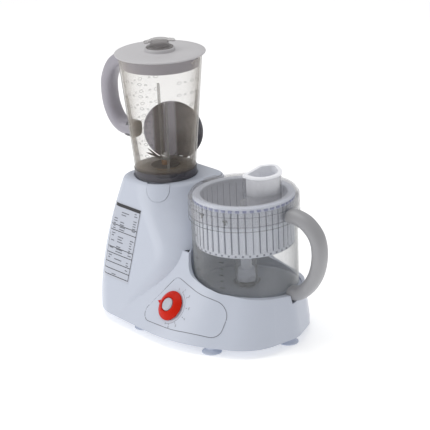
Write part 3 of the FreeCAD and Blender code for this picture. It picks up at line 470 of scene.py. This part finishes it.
def add_dial():
    """Ticks, digits and a thin arc printed round the knob."""
    tree = tree_of("control_panel", "upper_housing")
    form = bmesh.new()
    for number, (x, y) in enumerate(DIAL_MARKS):
        reach = math.hypot(x, y)
        near, far = (reach - 1.0) / reach, (reach + 2.2) / reach
        stroke(form, tree, (x * near, y * near), (x * far, y * far), 0.8)
        if number in DIGITS:
            corner = Vector((x, y)) * (reach + 5.6) / reach - Vector((1, 2))
            for edge in DIGITS[number]:
                a, b = STROKES[edge]
                stroke(form, tree, corner + Vector(a) * DIGIT_SIZE, corner + Vector(b) * DIGIT_SIZE, 0.55)
    arc = []
    for step in range(DIAL_PARTS + 1):
        angle = DIAL_FROM + (DIAL_TO - DIAL_FROM) * step / DIAL_PARTS
        arc.append((DIAL_RADIUS * math.cos(angle), DIAL_RADIUS * math.sin(angle)))
    for start, end in zip(arc, arc[1:]):
        stroke(form, tree, start, end, 0.5)
    piece("dial_marks", form, "label_print", "base", material=GREY_INK)


KNOB_OUTLINE = [(12.4, 7.5), (12.4, 9.4), (13.0, 10.0), (14.2, 9.9), (17.6, 8.2), (24.2, 3.6), (25.3, 2.6),
                (25.5, 1.9), (25.3, 1.4), (8.2, 1.4), (8.2, 5), (11, 5), (11, 7.5)]
KNOB_POINTER = [(-24.4, 3.4, 0), (-24.4, -3.4, 0), (-31, 0, 0)]


def add_knob():
    """Cone-shaped red collar with a small pointer, round a white cap."""
    turns = Matrix((ACROSS, ALONG, SLOPE_AXIS)).transposed()
    form = bmesh.new()
    spin(form, Vector((0, 0, 0)), KNOB_OUTLINE, 96)
    pointer = [Vector(corner) for corner in KNOB_POINTER]
    loft(form, [[p + UP * 1.5 for p in pointer], [p + UP * 3.2 for p in pointer]], closed=False, capped=True)
    for vertex in form.verts:
        vertex.co = KNOB + turns @ vertex.co
    piece("knob_collar", form, "red_knob", "knob", ["speed_knob"], bevel=0.3)


# ---------------------------------------------------------------- speed table on the tower

# Corners of the table: x from the bowl's axis, and height
LABEL = [(-251, 184), (-177, 184), (-165, 66), (-235, 66)]
# Ruled lines down the table and columns across it, as shares of its size
TABLE_LINES = [0.30, 0.375, 0.60, 0.68, 0.80, 0.885, 0.965]
TABLE_COLUMNS = [(0.10, 0.24), (0.34, 0.62), (0.80, 0.93)]
HEAD_LOW = 0.055
SIDE_PARTS, SIDE_STEP = 20, 0.0455
TABLE_ROWS, FIRST_ROW, ROW_STEP = 27, 0.085, 0.033
EMPTY_SHARE = 0.3


def add_speed_table():
    """Printed table without words: a dark heading, ruled lines, and short strokes in three columns."""
    tree = tree_of("speed_label", "upper_housing")
    top_left, top_right, low_right, low_left = (Vector((BOWL.x + x, BOWL.y - 150, z)) for x, z in LABEL)

    def spot(across, down):
        return top_left.lerp(low_left, down).lerp(top_right.lerp(low_right, down), across)

    def bar(form, left, right, top, low, parts=6):
        corners = [spot(left, top), spot(right, top), spot(right, low), spot(left, low)]
        laid(form, tree, corners, Vector((0, 1, 0)), lift=0.3, parts=parts)

    dark, pale = bmesh.new(), bmesh.new()
    bar(dark, 0.01, 0.99, 0.012, HEAD_LOW, 12)
    for line in TABLE_LINES:
        bar(dark, 0.02, 0.98, line - 0.004, line + 0.004, 30)
    for side in (0.022, 0.978):
        for part in range(SIDE_PARTS):
            top, low = HEAD_LOW + SIDE_STEP * part, HEAD_LOW + SIDE_STEP * (part + 1)
            bar(dark, side - 0.007, side + 0.007, top, low, 1)
    draw = random.Random(4)
    for row in range(TABLE_ROWS):
        down = FIRST_ROW + row * ROW_STEP
        if min(abs(down - line) for line in TABLE_LINES) < 0.012:
            continue
        for left, right in TABLE_COLUMNS:
            if draw.random() < EMPTY_SHARE:
                continue
            end = left + (right - left) * draw.uniform(0.45, 1)
            bar(pale, left, end, down - 0.0055, down + 0.0055, 2)
    piece("table_rules", dark, "label_print", "base", material=INK)
    piece("table_rows", pale, "label_print", "base", material=GREY_INK)


# ---------------------------------------------------------------- processing bowl side

# Basket wall: its slats, outer and inner radius, and slots that end this far above its foot and below its top
SLATS = 44
BASKET_RADIUS, BASKET_INSIDE = 82.2, 80
SLOT_DEPTH = 1.8
SLOT_LOW, SLOT_TOP = 8, 6
BASKET_LOW, BASKET_HIGH = height_span("juicer_basket")
RING_LOW, RING_TOP = height_span("basket_ring")
LID_LOW = height_span("bowl_lid")[0]


def slat_wave(turn):
    """0 in the slots between the slats, 1 on the slats and 0.45 on the step beside each slot."""
    phase = (turn * SLATS / (2 * math.pi)) % 1
    if phase < 0.14:
        return 0.0
    return 0.45 if phase < 0.34 else 1.0


def add_basket():
    """Slatted basket wall, with deep slots, and a floor; dark blocks paint the shade in the slots and at small
    square notches round the floor's edge.
    """
    form = bmesh.new()
    low, high = BASKET_LOW + SLOT_LOW, BASKET_HIGH - SLOT_TOP

    def wall(turn, radius, height):
        if radius < BASKET_RADIUS - SLOT_DEPTH - 0.1 or not low <= height <= high:
            return radius
        return BASKET_RADIUS - SLOT_DEPTH * (1 - slat_wave(turn))

    spin(form, BOWL, [(10.5, BASKET_LOW), (76, BASKET_LOW), (79.5, BASKET_LOW + 0.4), (81.6, BASKET_LOW + 2.4),
                      (BASKET_RADIUS, low - 0.6), (BASKET_RADIUS, low), (BASKET_RADIUS, low + 3),
                      (BASKET_RADIUS, high - 3), (BASKET_RADIUS, high), (BASKET_RADIUS, high + 0.6),
                      (BASKET_RADIUS, BASKET_HIGH), (BASKET_INSIDE, BASKET_HIGH),
                      (BASKET_INSIDE, BASKET_LOW + 5), (78, BASKET_LOW + 2.4), (10.5, BASKET_LOW + 2.4)],
         SLATS * 12, wall)
    piece("slatted_basket", form, "white_part", "basket", ["juicer_basket"])

    # Painted shade: dark blocks in the slots, on both faces of the wall, and at the notches by the floor
    shade, notch = bmesh.new(), bmesh.new()
    for slat in range(SLATS):
        turn = 2 * math.pi * (slat + 0.07) / SLATS
        block(shade, BOWL, turn, BASKET_RADIUS - 1.2, (low + high) / 2, (1.4, 1.3, high - low - 1))
        block(shade, BOWL, turn, BASKET_INSIDE - 0.1, (low + high) / 2, (0.5, 1.1, high - low - 1))
        block(notch, BOWL, turn + math.pi / SLATS, BASKET_RADIUS - 0.1, BASKET_LOW + 4.6, (0.9, 3.2, 2.6))
    piece("basket_slot_painted_shade", shade, "white_part", "basket", material=SLOT_SHADE)
    piece("basket_notch_painted_shade", notch, "white_part", "basket", material=SLOT_SHADE)


def add_basket_ring():
    """White ring on the basket's wall, with a row of small blocks under it."""
    form = bmesh.new()
    spin(form, BOWL, [(71.5, RING_TOP - 3), (71.5, RING_TOP - 1.2), (72.0, RING_TOP - 0.4), (72.9, RING_TOP),
                      (81.6, RING_TOP), (83.6, RING_TOP - 0.5), (84.6, RING_TOP - 1.8), (84.8, RING_TOP - 3.4),
                      (84.8, RING_LOW + 0.6), (84.4, RING_LOW), (78.8, RING_LOW), (78.8, RING_TOP - 3.5)], 160)
    piece("ring_band", form, "white_part", "basket", ["basket_ring"])
    blocks = bmesh.new()
    for count in range(SLATS):
        block(blocks, BOWL, 2 * math.pi * count / SLATS, 82.3, RING_LOW - 2.6, (3.6, 6.4, 4.0))
    piece("ring_blocks", blocks, "white_part", "basket", material=BLUE_BLOCK, bevel=0.3)


def add_stem():
    """Stepped drive stem under the basket, with a skirt round the spindle's tube."""
    form = bmesh.new()
    top = BASKET_LOW - 0.05
    spin(form, BOWL, [(12.8, 84.8), (15.4, 84.8), (15.6, 85.4), (15.6, 93.2), (15.2, 94), (14.2, 94.4),
                      (14.2, 104.4), (13.6, 105.6), (9.8, 106.8), (9.2, 107.8), (8.8, 146), (9.4, 147.2),
                      (13.6, 147.8), (14, 148.4), (14, top), (10.4, top), (10.4, 157), (5.4, 157), (5.4, 104.8),
                      (12.8, 104.8)], 72)
    piece("stepped_stem", form, "white_part", "basket", ["drive_stem"])


BOWL_RADIUS = 88.8
LID_RADIUS = 92.0
# Ridges round the lid: height over its lower edge, and size
LID_RIDGES = [(0.8, 0.5), (9, 0.45), (25, 0.35)]
# Latches: turn in degrees, and height over the lid's lower edge
LATCHES = [(-89, 24), (-61, 19)]


def add_lid_details():
    """Ridges round the lid's skirt, two latch bumps on its rim."""
    lines = bmesh.new()
    for height, radius in LID_RIDGES:
        spin(lines, BOWL, [(LID_RADIUS + radius * math.cos(a), LID_LOW + height + radius * math.sin(a))
                           for a in (math.pi * k / 4 for k in range(8))], 140)
    piece("lid_ridges", lines, "clear_lid", "bowl_lid", material=LINE_TINT)
    bumps = bmesh.new()
    for turn, height in LATCHES:
        block(bumps, BOWL, math.radians(turn), LID_RADIUS + 0.3, LID_LOW + height, (2.2, 9, 3.6))
        block(bumps, BOWL, math.radians(turn), LID_RADIUS + 0.4, LID_LOW + height - 4, (1.6, 4, 5))
    piece("lid_latches", bumps, "clear_lid", "bowl_lid", material=RIB_TINT, bevel=0.8)


def add_bowl_details():
    """Two columns of measure marks on the bowl's wall, and a collar on its floor."""
    marks = bmesh.new()
    for count in range(5):
        size = (0.5, 6 if count % 2 else 9, 1.1)
        block(marks, BOWL, math.radians(-68), BOWL_RADIUS - 0.1, 102 + 11 * count, size)
    for count in range(4):
        block(marks, BOWL, math.radians(-106), BOWL_RADIUS, 120 + 20 * count, (0.5, 7, 1.2))
    piece("bowl_marks", marks, "clear_bowl", "bowl", material=MARK_TINT)
    rim = bmesh.new()
    spin(rim, BOWL, [(18.9, 83), (18.9, 84.2), (20.5, 84.2), (23, 83.4), (23, 83)], 60)
    piece("bowl_floor_collar", rim, "clear_bowl", "bowl", material=RIB_TINT)


# Middle lines of the grips: reach from the axis, and height
BOWL_GRIP = [(89.2, 213.6), (106, 212.5), (125, 204.5), (142, 185), (147, 158), (142, 128), (130, 104),
             (113, 86), (100, 80.5), (89.2, 79.6)]
BOWL_GRIP_TURN = math.radians(13)
BOWL_CLEAR, LID_CLEAR = BOWL_RADIUS + 0.2, LID_RADIUS + 0.6


def add_bowl_grip():
    """Grey grip, hollowed to the walls of the bowl and lid that it stands against."""
    form = bmesh.new()
    grip(form, BOWL, BOWL_GRIP_TURN, BOWL_GRIP, half_across=15, half_deep=11.6)
    push_out(form, BOWL, lambda height: LID_CLEAR if height > LID_LOW - 0.6 else BOWL_CLEAR)
    piece("bowl_grip", form, "grey_handle", "bowl", ["bowl_handle"])


# ---------------------------------------------------------------- blender jug side

JUG_LOW, JUG_HIGH = height_span("blender_jug")
JUG_GRIP = [(71, 424.5), (88, 418), (106, 404), (118, 380), (120, 357), (116.5, 332), (106, 310), (91, 298),
            (77, 295.5), (64, 296)]
CLIP_LINE = [(62.2, 294.5), (66, 294.5), (70, 294.7), (74, 295), (76.5, 295.4)]
JUG_GRIP_TURN = math.radians(190)
BASE_RADIUS, TOP_RADIUS, WALL = 52.5, 71.6, 2.4
# Inner ribs: turns in degrees, height of the top, radius they reach in to at the foot, and its growth to the top
RIB_TURNS = [57, 147, 237, 327]
RIB_TOP = 368.6
RIB_INSIDE, RIB_LEAN = 40.8, 17.2
RIB_HALF = 2.3
RIB_PARTS = 13
# Measure marks: turns in degrees and rows up the wall
MARK_TURNS = [-94, -71, -13, 10, 150, 175]
MARK_ROWS, FIRST_MARK, MARK_STEP = 7, 272, 21.5


def jug_radius(height):
    """Outer radius of the jug's wall at a height."""
    share = (height - JUG_LOW) / (JUG_HIGH - JUG_LOW)
    return BASE_RADIUS + (TOP_RADIUS - BASE_RADIUS) * share


def add_jug_grip():
    """Lilac grip and, at its lower end, the smoke clip that holds it to the jug."""
    form = bmesh.new()
    grip(form, JUG, JUG_GRIP_TURN, JUG_GRIP, half_across=16, half_deep=12.4)
    push_out(form, JUG, lambda height: jug_radius(height) + 0.15)
    piece("jug_grip", form, "lilac_handle", "jug", ["jug_handle"])

    clip = bmesh.new()
    grip(clip, JUG, JUG_GRIP_TURN, CLIP_LINE, half_across=14.5, half_deep=14.2, squareness=3.2)
    push_out(clip, JUG, lambda height: jug_radius(height) + 0.1)
    piece("grip_clip", clip, "smoke_cover", "jug", ["handle_clip"], material=CLIP_SMOKE)


def rib_ring(turn, share):
    """Outline of a rib at a share of its height, rounded towards the jug's axis."""
    foot = JUG_LOW + 3.2
    height = foot + (RIB_TOP - foot) * share
    inner = RIB_INSIDE + RIB_LEAN * share
    outer = jug_radius(height) - WALL - 0.1
    away, across = facing(math.radians(turn))
    side = [(outer, 1), (inner + 1.6, 1), (inner + 0.4, 0.7), (inner, 0)]
    outline = side + [(reach, -sideways) for reach, sideways in reversed(side[:-1])]
    base = Vector((JUG.x, JUG.y, height))
    return [base + away * reach + across * RIB_HALF * sideways for reach, sideways in outline]


def add_jug_details():
    """Inner ribs with rounded edges, and moulded measure marks."""
    ribs = bmesh.new()
    for turn in RIB_TURNS:
        levels = [rib_ring(turn, step / RIB_PARTS) for step in range(RIB_PARTS + 1)]
        loft(ribs, levels, closed=False, capped=True)
    piece("jug_ribs", ribs, "clear_jug", "jug", material=RIB_TINT)

    marks = bmesh.new()
    for turn in MARK_TURNS:
        for row in range(MARK_ROWS):
            height = FIRST_MARK + MARK_STEP * row
            oval_ring(marks, math.radians(turn), height, 4.2, 2.4)
            for line in range(2):
                block(marks, JUG, math.radians(turn + 10), jug_radius(height) + 0.1, height - 0.9 + 1.8 * line,
                      (0.3, 5.5 - line, 0.6))
    piece("jug_marks", marks, "clear_jug", "jug", material=MARK_TINT)


def oval_ring(form, turn, height, half_wide, half_tall, width=0.55, parts=20):
    """Thin raised oval on the jug's wall."""
    rings = []
    for step in range(parts):
        angle = 2 * math.pi * step / parts
        ring = []
        for grow, out in ((0, 0.05), (0, 0.35), (width, 0.35), (width, 0.05)):
            tall = height + (half_tall - grow) * math.sin(angle)
            radius = jug_radius(tall) + out
            ring.append(polar(JUG, turn + (half_wide - grow) * math.cos(angle) / radius, radius, tall))
        rings.append(ring)
    loft(form, rings)


def add_jug_lid():
    """Flat lid with a drooping rim and a collar round the filler hole; returns the collar's top."""
    low = height_span("blender_lid")[0]
    form = bmesh.new()
    seat = low + 10.3
    spin(form, JUG, [(22, low), (75.4, low), (76.9, low + 0.5), (77.4, low + 1.5), (76.9, low + 2.6),
                     (74.5, low + 3.5), (60, low + 4.2), (40, low + 4.6), (27.2, low + 4.4), (26.2, low + 5),
                     (25.8, low + 9.2), (25.2, low + 10), (24.2, seat), (22, seat)], 140)
    piece("lid_disc", form, "light_grey_lid", "jug_lid", ["blender_lid"])
    return seat


CAP_TURN = math.radians(62)
CAP_STEPS = 72
DISC_RADIUS, WING_REACH, WING_HALF, WING_DIP = 17.2, 27.0, 6.5, 1.6


def cap_ring(height, grow):
    """Outline of the cap's disc with its two wings, which dip towards their tips."""
    away, across = facing(CAP_TURN)
    ring = []
    for step in range(CAP_STEPS):
        angle = 2 * math.pi * step / CAP_STEPS
        c, s = math.cos(angle), math.sin(angle)
        reach = DISC_RADIUS + grow
        if abs(s) * reach < WING_HALF:
            reach = max(reach, min(WING_REACH + grow, (WING_HALF + grow) / max(abs(s), 0.01)))
        dip = WING_DIP * max(reach - DISC_RADIUS, 0) / 10
        ring.append(Vector((JUG.x, JUG.y, height - dip)) + away * reach * c + across * reach * s)
    return ring


def add_filler_cap(seat):
    """Smoke cap: a hollow neck, an oval disc and two finger wings."""
    low, top = height_span("filler_cap")
    form = bmesh.new()
    spin(form, JUG, [(19, low), (21.6, low), (21.6, seat + 0.3), (23.4, seat + 0.3), (23.6, seat + 0.8),
                     (23.2, seat + 1.4), (16.6, seat + 1.6), (16, top - 3.6), (13.6, top - 3.6),
                     (14, seat + 0.6), (19, seat - 1)], 72)
    levels = [(top - 3.5, -0.6), (top - 2.9, 0), (top - 1.0, 0), (top - 0.3, -0.4), (top, -1.3)]
    loft(form, [cap_ring(height, grow) for height, grow in levels], closed=False, capped=True)
    piece("cap_with_wings", form, "smoke_cover", "cap", ["filler_cap"], material=CAP_SMOKE)


# Blade wings: turn and rise in degrees
WINGS = [(205, 14), (25, -6), (40, 44), (220, 40)]
# Sections along a wing: reach from the root, half width, thickness
WING_SECTIONS = [(0, 5.5, 0.6), (4, 5.2, 0.6), (20, 4.0, 0.55), (27, 2.4, 0.4), (30, 0.9, 0.2)]
WING_ROOT, WING_BEND = 6, 4
HUB_MIDDLE = 253.2


def add_blades():
    """Four thin sharpened wings on a small hub."""
    form = bmesh.new()
    spin(form, JUG, [(4.1, HUB_MIDDLE - 1.2), (8.2, HUB_MIDDLE - 1.2), (8.5, HUB_MIDDLE - 0.9),
                     (8.5, HUB_MIDDLE + 0.9), (8.2, HUB_MIDDLE + 1.2), (4.1, HUB_MIDDLE + 1.2)], 40)
    for turn, rise in WINGS:
        climb = math.radians(rise)
        away, across = facing(math.radians(turn))
        root = Vector((JUG.x, JUG.y, HUB_MIDDLE)) + away * WING_ROOT
        run = away * math.cos(climb) + UP * math.sin(climb)
        normal = run.cross(across)
        rings = []
        for reach, half, thick in WING_SECTIONS:
            at = root + away * min(reach, WING_BEND) + run * max(reach - WING_BEND, 0)
            rings.append([at - across * half - normal * 0.1, at + across * half * 0.5 - normal * thick,
                          at + across * half, at - across * half * 0.2 + normal * thick])
        loft(form, rings, closed=False, capped=True)
    piece("blade_wings", form, "steel", "blades", ["blender_blades"], material=DARK_STEEL)


# Colours of the painted light and painted shade bands on the cover's disc
PAINTED_LIGHT_BAND, PAINTED_DARK_BAND, PAINTED_LAST_BAND = (0.48, 0.47, 0.56), (0.07, 0.066, 0.09), (0.16, 0.16, 0.18)
# Painted bands of light and shade across the cover's disc: share of its width, and colour
COVER_PAINTED_BANDS = [(0.0, PAINTED_LIGHT_BAND), (0.15, PAINTED_LIGHT_BAND), (0.20, PAINTED_DARK_BAND), (0.33, PAINTED_DARK_BAND), (0.38, PAINTED_LIGHT_BAND),
               (0.52, PAINTED_LIGHT_BAND), (0.57, PAINTED_DARK_BAND), (0.82, PAINTED_DARK_BAND), (1.0, PAINTED_LAST_BAND)]
# Section of the disc's rim: distance in from the edge, and out from the disc's middle
RIM_SECTION = [(4.8, -1.0), (3.8, -2.3), (1.4, -2.3), (0.4, -1.0)]
RIM_STEPS = 96


def add_cover_rim():
    """Painted bands of light and shade on the cover's smoke tint, and the raised rim round its disc."""
    high = height_span("drive_cover")[1]
    pin = Vector(JOINTS["cover_hinge"]["pos_m"]) / MM
    centre = Vector((pin.x, pin.y, high - COVER_RADIUS))
    # Paints the bands of light and shade into the cover's colour
    paint_light_and_shade_bands(COVER_SMOKE_PAINTED_BANDS, COVER_TURN, centre * MM, COVER_PAINTED_BANDS)
    NODES["drive_cover"].data.materials[0] = COVER_SMOKE_PAINTED_BANDS
    away, across = facing(COVER_TURN)
    form = bmesh.new()
    rings = []
    for step in range(RIM_STEPS):
        angle = 2 * math.pi * step / RIM_STEPS
        direction = across * math.cos(angle) + UP * math.sin(angle)
        rings.append([centre + direction * (COVER_RADIUS - inwards) + away * out
                      for inwards, out in RIM_SECTION])
    loft(form, rings)
    for vertex in form.verts:
        vertex.co.z = max(vertex.co.z, pin.z + 6)
    piece("cover_rim", form, "smoke_cover", "cover", material=COVER_SMOKE_PAINTED_BANDS)


# Half width and corner radius of the release button, and its joint line's width
BUTTON_HALF, BUTTON_CORNER = 20.2, 17
GROOVE_WIDTH = 0.9
CORNER_PARTS = 24


def add_button_groove():
    """Dark joint line under the release button, where it meets the housing."""
    low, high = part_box("release_button")
    press = Vector(JOINTS["button_press"]["axis"]).normalized()
    across = press.cross(UP)
    at = Vector((JUG.x, JUG.y, 0)) - press * 80
    bottom = low.z / MM
    outline = [(-BUTTON_HALF, high.z / MM - 9)]
    for step in range(CORNER_PARTS + 1):
        angle = math.pi + math.pi / 2 * step / CORNER_PARTS
        outline.append((-BUTTON_HALF + BUTTON_CORNER + BUTTON_CORNER * math.cos(angle),
                        bottom + BUTTON_CORNER + BUTTON_CORNER * math.sin(angle)))
    outline += [(-x, z) for x, z in reversed(outline)]
    tree = tree_of("upper_housing", "release_button")
    form = bmesh.new()
    for (x1, z1), (x2, z2) in zip(outline, outline[1:]):
        run = Vector((x2 - x1, z2 - z1))
        side = Vector((run.y, -run.x)).normalized() * GROOVE_WIDTH
        corners = [at + across * x + UP * z for x, z in ((x1, z1), (x2, z2), (x2 + side.x, z2 + side.y),
                                                         (x1 + side.x, z1 + side.y))]
        laid(form, tree, corners, press, lift=0.15, start=40, parts=1)
    piece("button_groove", form, "white_body", "base", material=GROOVE)


# ---------------------------------------------------------------- camera, floor and light

# Focal length and film width in millimetres, and the camera's place from the foot of the bowl's axis in metres
LENS = 158.84
SENSOR = 36
CAMERA_FROM_BOWL = Vector((2.2205, -1.9265, 1.2475))
SIGHT = Vector((-0.7216, 0.6055, -0.3356))
ROLL = math.radians(2.4)

LIGHT_AIM = Vector((0, 0, 0.2))
WORLD_STRENGTH = 0.53
FLOOR_HALF = 12
# Layers of clear plastic that one ray may pass
CLEAR_LAYERS = 24


def add_camera():
    """Long lens that looks down on the front right corner, with a slight roll."""
    data = bpy.data.cameras.new("Camera")
    data.lens = LENS
    data.sensor_width = SENSOR
    data.clip_end = 20
    camera = bpy.data.objects.new("Camera", data)
    bpy.context.scene.collection.objects.link(camera)
    forward = SIGHT.normalized()
    right = forward.cross(UP).normalized()
    up = right.cross(forward)
    rolled_right = right * math.cos(ROLL) - up * math.sin(ROLL)
    rolled_up = right * math.sin(ROLL) + up * math.cos(ROLL)
    turn = Matrix((rolled_right, rolled_up, -forward)).transposed().to_4x4()
    camera.matrix_world = Matrix.Translation(CAMERA_FROM_BOWL + Vector((BOWL.x, BOWL.y, 0)) * MM) @ turn
    bpy.context.scene.camera = camera


def add_area(name, at, size, power):
    """Square area light aimed at the middle of the object."""
    data = bpy.data.lights.new(name, "AREA")
    data.shape = "SQUARE"
    data.size = size
    data.energy = power
    light = bpy.data.objects.new(name, data)
    bpy.context.scene.collection.objects.link(light)
    light.location = at
    light.rotation_euler = (LIGHT_AIM - Vector(at)).to_track_quat("-Z", "Y").to_euler()


def add_floor():
    """Plain pale floor, a little self-lit so that it stays white."""
    mesh = bpy.data.meshes.new("Floor")
    form = bmesh.new()
    bmesh.ops.create_grid(form, x_segments=2, y_segments=2, size=FLOOR_HALF)
    form.to_mesh(mesh)
    form.free()
    floor = bpy.data.objects.new("Floor", mesh)
    bpy.context.scene.collection.objects.link(floor)
    mesh.materials.append(surface("floor", (0.93, 0.93, 0.93), 0.6, variation=0.01, Emission_Color=(1, 1, 1, 1),
                                  Emission_Strength=0.4, Specular_IOR_Level=0.1))


def add_studio():
    """Even white surroundings, a soft light from above and one from the front left."""
    world = bpy.data.worlds.new("Studio")
    bpy.context.scene.world = world
    world.use_nodes = True
    background = world.node_tree.nodes["Background"]
    background.inputs["Color"].default_value = (1, 1, 1, 1)
    background.inputs["Strength"].default_value = WORLD_STRENGTH
    add_area("Overhead", (-0.5, 0.1, 2.2), 1.8, 18)
    add_area("Key", (-1.3, -2.1, 1.5), 1.6, 17)
    add_floor()
    scene = bpy.context.scene
    scene.view_settings.view_transform = "Standard"
    scene.cycles.transparent_max_bounces = CLEAR_LAYERS


dress_nodes()
add_seam()
add_dial()
add_knob()
add_speed_table()
add_basket()
add_basket_ring()
add_stem()
add_lid_details()
add_bowl_details()
add_bowl_grip()
add_jug_grip()
add_jug_details()
add_filler_cap(add_jug_lid())
add_blades()
add_cover_rim()
add_button_groove()
add_camera()
add_studio()
